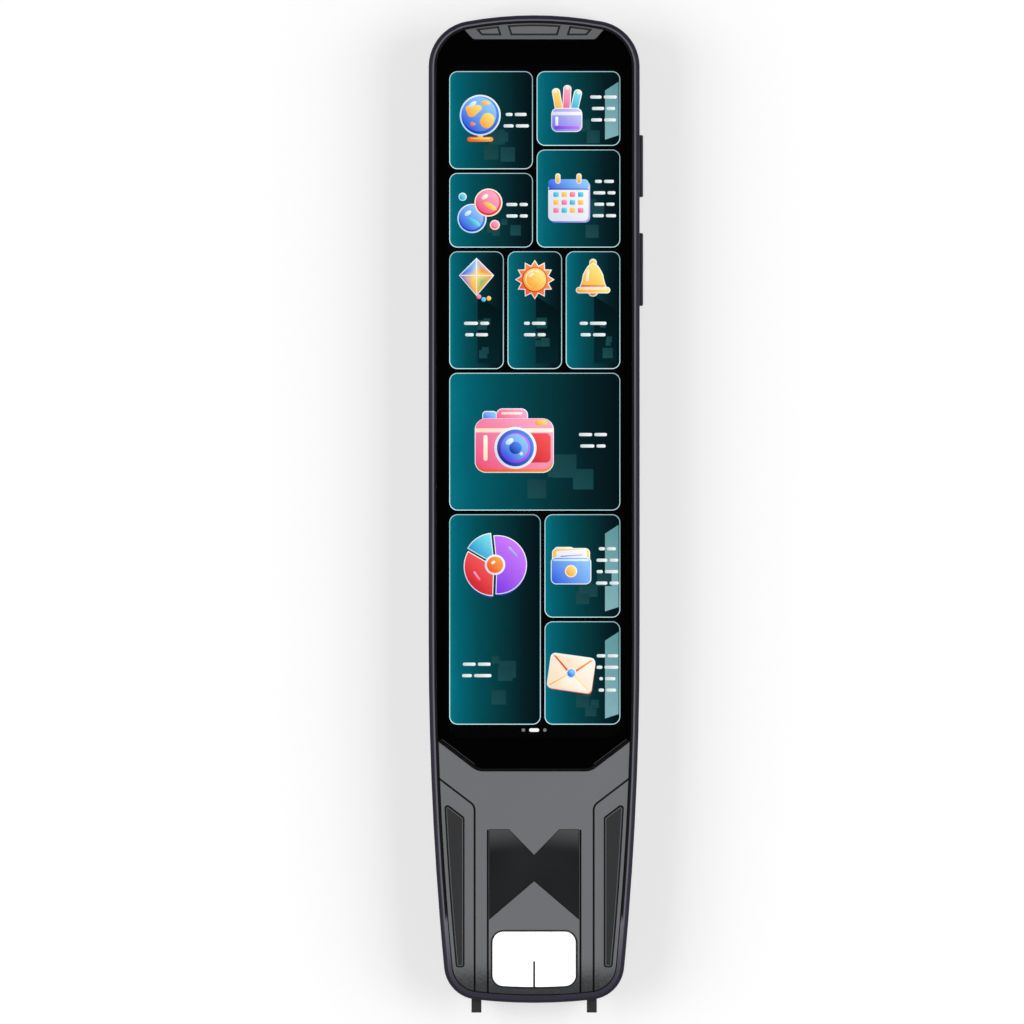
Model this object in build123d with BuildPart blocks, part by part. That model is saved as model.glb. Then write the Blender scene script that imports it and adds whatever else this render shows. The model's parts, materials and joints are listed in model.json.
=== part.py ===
from build123d import *

import os
from math import asin, atan2, degrees, hypot, radians, sin, sqrt, tan

# Handheld translator: a scanning pen with a tall touch display, a see-through tip and a sprung trigger.
# The pen lies on its back. +Z is out of the display, +Y runs to the top end and -Y to the scanning tip.
# The origin is on the back's flat face, under the middle of the body. All sizes are in millimetres.

os.makedirs("parts", exist_ok=True)

# ---- body outline, seen from the front
body_width = 36.0
body_length = 168.5
body_thickness = 12.1
top_crown_radius = 64.0
top_corner_radius = 7.85
taper_length = 61.9  # from the tip to where the sides start to draw in
taper_radius = 593.0
tip_corner_radius = 6.0
tip_crown_radius = 88.0
nose_length = 14.5  # the front surface rolls off over this length at the tip
nose_drop = 1.8

# ---- shells
shell_wall = 1.3
seat_width = 1.2  # ledge that carries the glass, the top trim and the chin cover
seat_thickness = 0.7
seam_gap = 0.1  # round every front piece that sits in the frame
rim_proud = 0.1  # frame rim above the glass
rim_radius = 1.0
rear_height = 3.8
rear_floor = 1.3
parting_gap = 0.1
back_edge_radius = 2.6
lip_thickness = 0.5
lip_height = 0.8
lip_gap = 0.05
plate_thickness = 0.8
bar_overlap = 1.2  # cross bars reach this far under the ends of the glass
edge_break = 0.12
fit_gap = 0.05  # between fixed pieces that are put together
air_gap = 0.3  # between pieces that only lie beside each other

# ---- display stack, from the front down
glass_thickness = 1.0
print_thickness = 0.1
cell_thickness = 0.9
backlight_thickness = 1.1
foam_thickness = 0.3
foam_width = 1.6
view_side_border = 3.25  # from the body's sides to the display's view
view_from_top = 8.45
view_above_chin = 5.75
view_corner_radius = 2.2
cell_border = 0.6
cell_end_border = 1.6
backlight_step = 1.0  # the cell stands out past the backlight at its lower end
tape_thickness = 0.2
tape_width = 12.0
tape_x = 1.5
tape_drop_gap = 0.8

# ---- top trim and its three inserts
trim_height = 4.15
trim_side = 7.6  # from the body's sides to the ends of the trim's flat edge
trim_slope = 48.0
trim_round = 0.8
insert_depth = 0.6
insert_gap = 0.12
insert_margin = 0.3
insert_rise = 0.8
insert_half_width = 3.9
insert_bridge = 1.8
insert_end_margin = 1.5
insert_lean = 18.0

# ---- chin cover
chin_height = 39.6  # from the tip to the flat lower edge of the glass
chin_side = 8.3  # from the body's sides to the ends of the chin's flat edge
chin_slope = 37.3
chin_round = 3.0
chin_thickness = 2.6
groove_width = 0.34
groove_depth = 0.3
step_groove_side = 7.85
step_groove_drop = 5.9
step_groove_round = 1.6
centre_groove_margin = 0.8  # outside the window's sides
grip_side = 6.0  # from the body's sides to the inlay's inner edge
grip_margin = 0.75
grip_top_drop = 8.0
grip_end_from_tip = 6.2
grip_depth = 0.8
grip_proud = 0.12
grip_gap = 0.12
grip_round = 0.4
badge_top_drop = 10.0
badge_length = 15.2
badge_margin = 0.3  # inside the centre grooves
badge_shoulder = 3.3
badge_notch = 4.4
badge_foot = 6.5
badge_depth = 0.5
badge_sink = 0.06
badge_gap = 0.08

# ---- scan window, chamber and mouth
window_half_width = 7.1
window_margin = 2.75  # from the body outline to the window's lower edge
window_top_from_tip = 12.2
window_round = 1.9
pane_gap = 0.06
pane_flange = 0.6
pane_flange_thickness = 0.7
pane_sink = 0.25
pointer_width = 0.34
pointer_length = 4.4
pointer_depth = 0.2
chamber_wall = 0.8
mouth_margin = 0.9  # inside the window's sides
mouth_height = 4.2
mouth_pane_setback = 0.6
mouth_pane_thickness = 1.0

# ---- scan trigger
prong_margin = 2.75  # from the window's sides to the middle of a prong
prong_width = 1.7
prong_height = 2.2
prong_z = 7.0
prong_proud = 1.7
prong_gap = 0.12
trigger_travel = 1.0
shoulder_length = 2.0
shoulder_step = 0.25
crossbar_depth = 1.6
crossbar_height = 1.5
crossbar_setback = 1.45  # behind the chamber
spring_radius = 0.75
spring_wire = 0.2
spring_turns = 5
spring_length = 3.4
guide_radius = 0.4
guide_length = 2.0
switch_width = 3.2
switch_depth = 1.2
switch_height = 1.0
plunger_radius = 0.35
switch_clearance = 0.05
seat_block_width = 2.6
seat_block_depth = 2.4

# ---- camera and lights
camera_z = 4.6
camera_width = 6.0
camera_height = 4.2
barrel_radius = 1.9
barrel_length = 0.7
lens_radius = 1.4
lens_thickness = 0.8
lens_round = 0.3
light_margin = 1.8  # inside the window's sides
light_radius = 0.75
scan_board_thickness = 0.6
scan_board_margin = 0.3  # outside the window's sides
scan_board_base = 2.2
scan_board_height = 6.1
hanger_thickness = 1.0
hanger_foot_side = 5.5

# ---- side keys
key_z = 6.0
key_height = 2.2
key_proud = 0.63
key_gap = 0.12
key_round = 0.6
key_soft_edge = 0.25
key_lap = 0.6
key_flange_thickness = 0.7
key_play = 0.1
power_from_top = 25.65
power_length = 10.6
power_travel = 0.3
rocker_from_top = 43.3
rocker_length = 12.45
rocker_tilt = 2.2
rocker_end_gap = 0.25
rocker_play = 0.35
rocker_pivot_depth = 1.4  # pivot behind the inside of the wall
rocker_hub_radius = 0.95
rocker_arm = 4.0
pin_radius = 0.4
pin_clearance = 0.05
pin_entry = 0.4
pin_seat_gap = 0.02
lug_length = 2.6
nib_radius = 0.5
nib_length = 0.4
dome_thickness = 1.2
dome_length = 3.0
dome_height = 2.2
key_board_thickness = 0.5
key_board_height = 3.4
key_board_margin = 2.5
key_tail_length = 3.0
key_tail_lap = 1.0
key_rib_thickness = 0.8

# ---- electronics
board_thickness = 0.8
board_length = 63.0
board_edge = 2.1
usb_sill = 0.5
usb_width = 8.94
usb_height = 3.16
usb_wall = 0.3
usb_depth = 7.0
usb_back = 0.8
usb_hole_gap = 0.12
usb_setback = 0.3
tongue_width = 6.7
tongue_thickness = 0.7
tongue_length = 4.6
microphone_side = 7.5
microphone_size = 2.8
microphone_thickness = 1.0
microphone_setback = 3.6
sound_hole_radius = 0.5
shield_width = 17.0
shield_length = 20.0
shield_height = 1.2
shield_from_top = 38.0
shield_gap = 0.9  # beside the antenna strip
shield_round = 1.0
memory_size = 11.0
memory_height = 1.0
wireless_width = 11.0
wireless_length = 12.0
wireless_height = 1.6
wireless_from_top = 22.0
antenna_width = 4.0
antenna_length = 26.0
antenna_thickness = 0.15
battery_side = 5.5
battery_to_speaker = 2.15
battery_thickness = 5.0
battery_pad_thickness = 0.2
battery_to_board = 5.0
battery_edge_radius = 1.6
battery_tab_width = 4.0
battery_tab_z = 4.2
connector_length = 3.0
connector_overhang = 0.8
ribbon_x = -6.45
ribbon_width = 1.5
speaker_width = 18.0
speaker_length = 13.0
speaker_height = 4.0
speaker_from_hanger = 2.2
speaker_round = 1.5
mesh_thickness = 0.15
mesh_margin = 0.8
grille_radius = 0.55
grille_spacing = 1.9
grille_columns = 7
grille_rows = 4
contact_radius = 0.4
contact_spacing = 2.4

# ---- screws and back details
screw_radius = 0.8
screw_length = 6.0
screw_head_radius = 1.4
screw_head_height = 0.6
screw_slot = 0.36
screw_slot_length = 2.1
screw_slot_depth = 0.35
screw_sink = 0.1
post_radius = 2.0
screw_side = 6.1
screw_from_top = 12.2
screw_from_tip = 24.2
board_screw_radius = 0.5
board_screw_length = 1.8
board_screw_head_radius = 1.0
board_screw_head_height = 0.5
board_post_radius = 1.5
board_screw_low_side = 6.5
board_screw_high_side = 9.4
board_screw_margin = 3.4
board_screw_rise = 46.0
label_width = 20.0
label_length = 46.0
label_depth = 0.15
label_round = 2.5
label_y = 20.0

# ---- places that follow from the sizes above
top_y = body_length / 2
tip_y = -body_length / 2
half_width = body_width / 2
face_z = body_thickness - rim_proud
seat_z = face_z - glass_thickness - print_thickness
cell_base = seat_z - cell_thickness
backlight_base = cell_base - backlight_thickness
plate_top = backlight_base - foam_thickness
plate_base = plate_top - plate_thickness
chin_seat_z = face_z - chin_thickness
ledge_base = chin_seat_z - seat_thickness
frame_base = rear_height + parting_gap
lip_top = frame_base + lip_height
above = body_thickness + rim_radius  # clear of everything in front
wall_x = half_width - shell_wall
chin_y = tip_y + chin_height
trim_y = top_y - trim_height
nose_y = tip_y + nose_length
view_top = top_y - view_from_top
view_low = chin_y + view_above_chin
view_half_width = half_width - view_side_border
trim_half_width = half_width - trim_side
insert_outer_x = trim_half_width - insert_end_margin
chin_half_flat = half_width - chin_side
step_groove_x = half_width - step_groove_side
grip_inner_x = half_width - grip_side
cell_top = view_top + cell_border
cell_low = view_low - cell_end_border

window_top = tip_y + window_top_from_tip
centre_groove_x = window_half_width + centre_groove_margin
badge_half_width = centre_groove_x - badge_margin
mouth_half_width = window_half_width - mouth_margin
light_x = window_half_width - light_margin
scan_board_x = window_half_width + scan_board_margin
chamber_back = window_top + chamber_wall
chamber_base = rear_floor + pane_flange_thickness
chamber_top = chin_seat_z - pane_flange_thickness
mouth_top = frame_base + mouth_height

prong_x = window_half_width + prong_margin
crossbar_y = chamber_back + crossbar_setback
leg_end_y = crossbar_y + crossbar_depth
seat_block_y = leg_end_y + spring_length
crossbar_top = prong_z + crossbar_height
plunger_tip_y = leg_end_y + trigger_travel + switch_clearance
hanger_y = seat_block_y + scan_board_thickness
scan_board_y = hanger_y - scan_board_thickness
switch_y = scan_board_y - switch_depth
switch_z = prong_z + crossbar_height / 2

usb_z = frame_base + usb_sill + usb_hole_gap + usb_height / 2
usb_mouth_y = top_y - usb_setback
usb_back_y = usb_mouth_y - usb_depth
board_base = usb_z - board_thickness / 2
antenna_x = board_edge - half_width
shield_x = antenna_x + antenna_width + shield_gap + shield_width / 2
board_top = usb_z + board_thickness / 2
board_end_y = top_y - board_edge
board_low_y = board_end_y - board_length
connector_low_y = board_low_y + connector_overhang
connector_high_y = connector_low_y + connector_length
tape_base = plate_base - tape_thickness
battery_base = rear_floor + battery_pad_thickness
battery_high_y = board_low_y - battery_to_board
battery_half_width = half_width - battery_side
microphone_x = half_width - microphone_side
speaker_low_y = hanger_y + hanger_thickness + speaker_from_hanger
battery_low_y = speaker_low_y + speaker_length + battery_to_speaker
speaker_y = speaker_low_y + speaker_length / 2
speaker_base = rear_floor + mesh_thickness
speaker_top = speaker_base + speaker_height

power_y = top_y - power_from_top
rocker_y = top_y - rocker_from_top
key_low, key_high = key_z - key_height / 2, key_z + key_height / 2
key_face_x = half_width + key_proud
power_flange_x = wall_x - key_play - key_flange_thickness
rocker_flange_x = wall_x - rocker_play - key_flange_thickness
rocker_pivot_x = wall_x - rocker_pivot_depth
rocker_travel = rocker_arm * sin(radians(rocker_tilt))
power_dome_x = power_flange_x - nib_length - power_travel - switch_clearance
rocker_dome_x = rocker_flange_x - nib_length - rocker_travel - switch_clearance
key_board_x = power_dome_x - dome_thickness
key_rib_x = key_board_x - key_board_thickness
key_clear_x = key_rib_x - key_rib_thickness - air_gap
key_board_low = rocker_y - rocker_arm - key_board_margin
key_board_high = power_y + dome_length / 2 + key_board_margin

screw_x = half_width - screw_side
screw_places = [(s * screw_x, y) for s in (1, -1) for y in (top_y - screw_from_top, tip_y + screw_from_tip)]
board_screw_y = board_low_y + board_screw_margin
board_screw_places = [
    (s * (half_width - inset), board_screw_y + rise)
    for inset, rise in ((board_screw_low_side, 0), (board_screw_high_side, board_screw_rise))
    for s in (1, -1)
]

upward = (Align.CENTER, Align.CENTER, Align.MIN)  # a cylinder or cone stands on its place


def lowest_meeting(centre_a, radius_a, centre_b, radius_b):
    """The lower of the two points where two circles cross."""
    run, rise = centre_b[0] - centre_a[0], centre_b[1] - centre_a[1]
    span = hypot(run, rise)
    along = (radius_a**2 - radius_b**2 + span**2) / (2 * span)
    off = sqrt(radius_a**2 - along**2)
    foot = (centre_a[0] + along * run / span, centre_a[1] + along * rise / span)
    found = [(foot[0] + s * off * rise / span, foot[1] - s * off * run / span) for s in (1, -1)]
    return min(found, key=lambda point: point[1])


def outline(inset):
    """The body seen from the front, moved in by inset: crowned ends, round corners, sides that draw in."""
    corner_x = half_width - top_corner_radius
    crown_y = top_y - top_crown_radius
    corner_y = crown_y + sqrt((top_crown_radius - top_corner_radius) ** 2 - corner_x**2)
    taper = (half_width - taper_radius, tip_y + taper_length)
    tip_crown = (0, tip_y + tip_crown_radius)
    tip_x, tip_corner_y = lowest_meeting(
        taper, taper_radius - tip_corner_radius, tip_crown, tip_crown_radius - tip_corner_radius
    )
    top_turn = degrees(atan2(corner_y - crown_y, corner_x))
    side_turn = degrees(atan2(tip_corner_y - taper[1], tip_x - taper[0]))
    tip_turn = degrees(atan2(tip_corner_y - tip_crown[1], tip_x))
    side_x = half_width - inset
    with BuildSketch(mode=Mode.PRIVATE) as seen:
        with BuildLine():
            CenterArc((0, crown_y), top_crown_radius - inset, top_turn, 180 - 2 * top_turn)
            CenterArc(tip_crown, tip_crown_radius - inset, tip_turn, -180 - 2 * tip_turn)
            for side in (1, -1):
                middle = 90 - 90 * side  # where this side's angles are measured from
                Line((side * side_x, corner_y), (side * side_x, taper[1]))
                corner = (side * corner_x, corner_y)
                CenterArc(corner, top_corner_radius - inset, middle, side * top_turn)
                CenterArc((side * taper[0], taper[1]), taper_radius - inset, middle, side * side_turn)
                start = middle + side * side_turn
                corner = (side * tip_x, tip_corner_y)
                CenterArc(corner, tip_corner_radius - inset, start, side * (tip_turn - side_turn))
        make_face()
    return seen.sketch


def area(x, y):
    """A rectangle between the two values given for each axis."""
    with BuildSketch(mode=Mode.PRIVATE) as seen:
        with Locations(((x[0] + x[1]) / 2, (y[0] + y[1]) / 2)):
            Rectangle(x[1] - x[0], y[1] - y[0])
    return seen.sketch


def strip(low, high):
    """A rectangle right across the body from y = low to y = high."""
    return area((-body_width, body_width), (low, high))


def clip(face, *regions, cut=()):
    """The part of a face that is inside every region and outside every cut."""
    with BuildSketch(mode=Mode.PRIVATE) as kept:
        add(face)
        for region in regions:
            add(region, mode=Mode.INTERSECT)
        for region in cut:
            add(region, mode=Mode.SUBTRACT)
    return kept.sketch


def grown(face, amount):
    """A face moved out all round by amount, with its corners kept sharp."""
    with BuildSketch(mode=Mode.PRIVATE) as seen:
        add(face)
        offset(amount=amount, kind=Kind.INTERSECTION)
    return seen.sketch


def chin_zone(shift):
    """Everything below the glass: a flat edge and two slopes up to the sides, moved down by shift."""
    level = chin_y - shift
    rise = (body_width - chin_half_flat) * tan(radians(chin_slope))
    with BuildSketch(mode=Mode.PRIVATE) as zone:
        with BuildLine():
            edge = FilletPolyline(
                (-body_width, level + rise),
                (-chin_half_flat, level),
                (chin_half_flat, level),
                (body_width, level + rise),
                radius=chin_round,
            )
            Polyline(edge @ 1, (body_width, 2 * tip_y), (-body_width, 2 * tip_y), edge @ 0)
        make_face()
    return zone.sketch


def trim_zone(shift):
    """Everything above the glass: a flat edge and two short slopes, moved up by shift."""
    level = trim_y + shift
    rise = body_width * tan(radians(trim_slope))
    with BuildSketch(mode=Mode.PRIVATE) as zone:
        with BuildLine():
            edge = FilletPolyline(
                (-trim_half_width - body_width, level + rise),
                (-trim_half_width, level),
                (trim_half_width, level),
                (trim_half_width + body_width, level + rise),
                radius=trim_round,
            )
            Line(edge @ 1, edge @ 0)
        make_face()
    return zone.sketch


def window_face(grow):
    """The scan window seen from the front: three straight sides, and a lower one that follows the tip."""
    side_x = window_half_width + grow
    with BuildSketch(mode=Mode.PRIVATE) as seen:
        add(outline(window_margin - grow))
        add(area((-side_x, side_x), (2 * tip_y, window_top + grow)), mode=Mode.INTERSECT)
        fillet(seen.vertices(), window_round + grow)
    return seen.sketch


def grip_face(side, grow):
    """One grip inlay: a wedge that follows the body's side, with a sloped top and a square end."""
    inner_x = grip_inner_x - grow
    low_y = tip_y + grip_end_from_tip - grow
    high_y = chin_y - grip_top_drop + grow
    rise = (body_width - inner_x) * tan(radians(chin_slope))
    corners = [(inner_x, low_y), (inner_x, high_y), (body_width, high_y + rise), (body_width, low_y)]
    with BuildSketch(mode=Mode.PRIVATE) as seen:
        with Locations((side * (half_width - taper_radius), tip_y + taper_length)):
            Circle(taper_radius - shell_wall - seam_gap - grip_margin + grow)
        with BuildSketch(mode=Mode.INTERSECT):
            with BuildLine():
                Polyline(*[(side * x, y) for x, y in corners], close=True)
            make_face()
        fillet(seen.vertices(), grip_round + grow)
    return seen.sketch


def in_front(lift):
    """Everything in front of the face, which is flat and then rolls off at the tip, moved by lift."""
    level = face_z + lift
    roll_radius = (nose_length**2 + nose_drop**2) / (2 * nose_drop)
    sweep = degrees(asin((nose_length + shell_wall) / roll_radius))
    with BuildPart(mode=Mode.PRIVATE) as space:
        with BuildSketch(Plane.YZ):
            with BuildLine():
                roll = CenterArc((nose_y, level - roll_radius), roll_radius, 90, sweep)
                end_y = (roll @ 1).X
                far_y = top_y + above
                Polyline(roll @ 1, (end_y, 2 * above), (far_y, 2 * above), (far_y, level), roll @ 0)
            make_face()
        extrude(amount=body_width, both=True)
    return space.part


def column(face, low, high):
    """A face drawn out between two surfaces that follow the front, low and high from it."""
    with BuildPart(mode=Mode.PRIVATE) as made:
        raised(face, rear_height, 2 * above)
        add(in_front(low), mode=Mode.INTERSECT)
        if high is not None:
            add(in_front(high), mode=Mode.SUBTRACT)
    return made.part


def raised(face, low, high, mode=Mode.ADD):
    """A face drawn out from z = low to z = high."""
    with BuildSketch(Plane.XY.offset(low)) as base:
        add(face)
    extrude(base.sketch, amount=high - low, mode=mode)


def block(x, y, z, mode=Mode.ADD):
    """A box between the two values given for each axis."""
    with Locations(((x[0] + x[1]) / 2, (y[0] + y[1]) / 2, (z[0] + z[1]) / 2)):
        Box(x[1] - x[0], y[1] - y[0], z[1] - z[0], mode=mode)


def upright(places, radius, low, high, mode=Mode.ADD):
    """Cylinders along Z at each x, y place."""
    with Locations([(x, y, low) for x, y in places]):
        Cylinder(radius, high - low, align=upward, mode=mode)


def along(x, z, radius, start, end, mode=Mode.ADD):
    """A cylinder along Y from y = start to y = end."""
    with Locations(Location((x, start, z), (-90, 0, 0))):
        Cylinder(radius, end - start, align=upward, mode=mode)


def across(y, z, radius, start, end, mode=Mode.ADD):
    """A cylinder along X from x = start to x = end."""
    with Locations(Location((start, y, z), (0, 90, 0))):
        Cylinder(radius, end - start, align=upward, mode=mode)


def save(piece, name):
    """Names a finished piece after what it is and writes it."""
    piece.part.label = name
    export_step(piece.part, f"parts/{name}.step")


body_face = outline(0)
wall_face = outline(shell_wall)
recess_face = outline(shell_wall + seam_gap)
pocket_face = outline(shell_wall + seat_width)
nose_side = strip(2 * tip_y, hanger_y)
body_side = strip(hanger_y, 2 * top_y)
window_hole = window_face(pane_gap)
flange_face = window_face(pane_flange)
flange_room = window_face(pane_flange + seam_gap)

# ---- rear cover: a shallow tray with round edges, a locating lip, posts, a grille and a window hole
with BuildPart() as rear_inside:
    raised(wall_face, rear_floor, lip_top)
    fillet(rear_inside.faces().sort_by(Axis.Z)[0].edges(), back_edge_radius - shell_wall)

lip_face = clip(outline(shell_wall + lip_gap), cut=(outline(shell_wall + lip_gap + lip_thickness),))
lip_root_face = clip(wall_face, cut=(outline(shell_wall + lip_gap + lip_thickness),))
lip_breaks = (
    area((-usb_width, usb_width), (board_end_y - shell_wall, 2 * top_y)),
    area((-body_width, body_width), (2 * tip_y, tip_y + window_margin + shell_wall)),
    area((0, body_width), (rocker_y - lug_length, rocker_y + lug_length)),
)

with BuildPart() as rear_cover:
    raised(body_face, 0, rear_height)
    fillet(rear_cover.faces().sort_by(Axis.Z)[0].edges(), back_edge_radius)
    add(rear_inside.part, mode=Mode.SUBTRACT)
    raised(clip(lip_root_face, cut=lip_breaks), rear_height - lip_height, rear_height)
    raised(clip(lip_face, cut=lip_breaks), rear_height, lip_top)
    upright(screw_places, post_radius, rear_floor, rear_height)
    upright(screw_places, screw_radius + fit_gap, 0, rear_height, mode=Mode.SUBTRACT)
    upright(screw_places, screw_head_radius + fit_gap, 0, screw_sink, mode=Mode.SUBTRACT)
    with Locations([(x, y, screw_sink) for x, y in screw_places]):
        Cone(
            screw_head_radius + fit_gap,
            screw_radius + fit_gap,
            screw_head_height,
            align=upward,
            mode=Mode.SUBTRACT,
        )
    raised(window_hole, 0, rear_floor, mode=Mode.SUBTRACT)
    raised(flange_room, rear_floor, rear_height, mode=Mode.SUBTRACT)
    with Locations((0, speaker_y, 0)):
        with GridLocations(grille_spacing, grille_spacing, grille_columns, grille_rows):
            Hole(grille_radius, depth=2 * rear_floor)
    with BuildSketch():
        with Locations((0, label_y)):
            RectangleRounded(label_width, label_length, label_round)
    extrude(amount=label_depth, mode=Mode.SUBTRACT)
save(rear_cover, "rear_cover")

# ---- mid frame: the rim and side walls, the ledges for the front pieces, the plate under the display,
# and the posts, hangers and holes that carry or pass everything else
rim_tool = in_front(rim_proud)
display_pocket = clip(pocket_face, cut=(chin_zone(-bar_overlap), trim_zone(-bar_overlap)))
usb_hole_width = usb_width + 2 * usb_hole_gap
usb_hole_height = usb_height + 2 * usb_hole_gap
lug_x = (rocker_pivot_x - rocker_hub_radius, wall_x + lip_gap)
lug_y = (rocker_y - lug_length / 2, rocker_y + lug_length / 2)
tape_turn_y = cell_low - tape_drop_gap
tape_side = (tape_x - tape_width / 2, tape_x + tape_width / 2)
ribbon_side = (ribbon_x - ribbon_width / 2, ribbon_x + ribbon_width / 2)

with BuildPart() as mid_frame:
    raised(body_face, frame_base, above)
    add(rim_tool, mode=Mode.SUBTRACT)
    rim_edges = mid_frame.edges().filter_by_position(Axis.Z, ledge_base, above)
    fillet(rim_edges.filter_by(Axis.X, reverse=True).filter_by(Axis.Z, reverse=True), rim_radius)
    raised(clip(wall_face, cut=(chin_zone(0),)), seat_z, above, mode=Mode.SUBTRACT)
    raised(clip(wall_face, chin_zone(0)), chin_seat_z, above, mode=Mode.SUBTRACT)
    raised(display_pocket, plate_top, seat_z, mode=Mode.SUBTRACT)
    raised(clip(pocket_face, chin_zone(bar_overlap), body_side), plate_top, chin_seat_z, mode=Mode.SUBTRACT)
    raised(clip(pocket_face, nose_side), ledge_base, chin_seat_z, mode=Mode.SUBTRACT)
    raised(flange_room, ledge_base, chin_seat_z, mode=Mode.SUBTRACT)
    raised(clip(wall_face, nose_side), frame_base, ledge_base, mode=Mode.SUBTRACT)
    raised(clip(wall_face, body_side), frame_base, plate_base, mode=Mode.SUBTRACT)

    # cross wall behind the scan board, and the blocks that the trigger springs push on
    hanger = strip(hanger_y, hanger_y + hanger_thickness)
    raised(clip(wall_face, hanger), lip_top + air_gap, plate_base)
    half_foot = half_width - hanger_foot_side
    block((-half_foot, half_foot), (hanger_y, hanger_y + hanger_thickness), (scan_board_base, plate_base))
    for side in (1, -1):
        block(
            (side * prong_x - seat_block_width / 2, side * prong_x + seat_block_width / 2),
            (seat_block_y, seat_block_y + seat_block_depth),
            (prong_z - prong_height / 2, plate_top),
        )

    # posts for the case screws and for the main board's screws
    upright(screw_places, post_radius, frame_base, plate_base)
    screw_hole_top = screw_sink + screw_length + air_gap
    upright(screw_places, screw_radius + fit_gap, frame_base, screw_hole_top, Mode.SUBTRACT)
    upright(board_screw_places, board_post_radius, board_top, plate_base)
    upright(board_screw_places, board_screw_radius + fit_gap, board_top, plate_base, Mode.SUBTRACT)

    # rib behind the key board, and the lugs that hold the rocker's pin
    block(
        (key_rib_x - key_rib_thickness, key_rib_x),
        (key_board_low + key_tail_length, key_board_high),
        (frame_base, plate_base),
    )
    block(lug_x, lug_y, (frame_base, key_low - fit_gap))
    block(lug_x, lug_y, (key_high + fit_gap, plate_base))
    pin_place = [(rocker_pivot_x, rocker_y)]
    upright(pin_place, pin_radius + pin_seat_gap, key_low - pin_entry, key_high + pin_entry, Mode.SUBTRACT)

    # holes through the walls and the plate
    with BuildSketch(Plane.XZ.offset(-top_y - above)):
        with Locations((0, usb_z)):
            RectangleRounded(usb_hole_width, usb_hole_height, usb_hole_height / 2 - fit_gap)
    extrude(amount=above + board_edge, mode=Mode.SUBTRACT)
    sound_hole_z = board_top + microphone_thickness / 2
    sound_hole_y = board_end_y - microphone_setback
    for side in (1, -1):
        hole_x = side * microphone_x
        along(hole_x, sound_hole_z, sound_hole_radius, sound_hole_y, top_y + above, Mode.SUBTRACT)
        grown_width = prong_width / 2 + prong_gap
        block(
            (side * prong_x - grown_width, side * prong_x + grown_width),
            (tip_y - above, tip_y + 2 * shell_wall),
            (prong_z - prong_height / 2 - prong_gap, prong_z + prong_height / 2 + prong_gap),
            mode=Mode.SUBTRACT,
        )
    block(
        (-mouth_half_width, mouth_half_width),
        (tip_y - above, tip_y + window_margin),
        (frame_base, mouth_top),
        mode=Mode.SUBTRACT,
    )
    for centre_y, half_length in (
        (power_y, power_length / 2 + key_gap),
        (rocker_y, rocker_length / 2 + rocker_end_gap),
    ):
        with BuildSketch(Plane.YZ.offset(wall_x - fit_gap)):
            with Locations((centre_y, key_z)):
                RectangleRounded(2 * half_length, key_height + 2 * key_gap, key_round + key_gap)
        extrude(amount=2 * shell_wall, mode=Mode.SUBTRACT)
    block(
        (tape_side[0] - fit_gap, tape_side[1] + fit_gap),
        (tape_turn_y - tape_thickness - air_gap, tape_turn_y + air_gap),
        (tape_base, plate_top),
        mode=Mode.SUBTRACT,
    )
    block(
        (ribbon_side[0] - fit_gap, ribbon_side[1] + fit_gap),
        (hanger_y, hanger_y + hanger_thickness),
        (tape_base - fit_gap, plate_base),
        mode=Mode.SUBTRACT,
    )
save(mid_frame, "mid_frame")

# ---- front glass, the black border printed under it, and the display stack behind it
glass_face = clip(recess_face, cut=(chin_zone(-seam_gap / 2), trim_zone(-seam_gap / 2)))
with BuildPart() as front_glass:
    raised(glass_face, face_z - glass_thickness, face_z)
    chamfer(front_glass.faces().sort_by(Axis.Z)[-1].edges(), edge_break)
save(front_glass, "front_glass")

with BuildSketch() as view_face:
    with Locations((0, (view_top + view_low) / 2)):
        RectangleRounded(2 * view_half_width, view_top - view_low, view_corner_radius)
with BuildPart() as glass_border_print:
    raised(clip(glass_face, cut=(view_face.sketch,)), seat_z, face_z - glass_thickness)
save(glass_border_print, "glass_border_print")

cell_side = view_half_width + cell_border
cell_room = clip(outline(shell_wall + seat_width + seam_gap), cut=(chin_zone(-bar_overlap - seam_gap),))
with BuildPart() as display_panel:
    raised(clip(cell_room, area((-cell_side, cell_side), (cell_low, cell_top))), cell_base, seat_z)
save(display_panel, "display_panel")

backlight_face = clip(cell_room, area((-cell_side, cell_side), (cell_low + backlight_step, cell_top)))
with BuildPart() as display_backlight:
    raised(backlight_face, backlight_base, cell_base)
save(display_backlight, "display_backlight")

with BuildPart() as display_foam:
    raised(clip(backlight_face, cut=(grown(backlight_face, -foam_width),)), plate_top, backlight_base)
save(display_foam, "display_foam")

# The tape leaves under the cell's lower end, turns down through the plate and runs back under it.
with BuildPart() as display_tape:
    tape_high = cell_base - tape_thickness / 2
    tape_low = plate_base - tape_thickness / 2
    with BuildSketch(Plane.YZ.offset(tape_side[0])):
        with BuildLine() as tape_path:
            FilletPolyline(
                (cell_low + backlight_step, tape_high),
                (tape_turn_y, tape_high),
                (tape_turn_y, tape_low),
                (connector_high_y, tape_low),
                radius=2 * tape_thickness,
            )
        trace(tape_path.line, line_width=tape_thickness)
    extrude(amount=tape_width)
save(display_tape, "display_tape")

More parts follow.
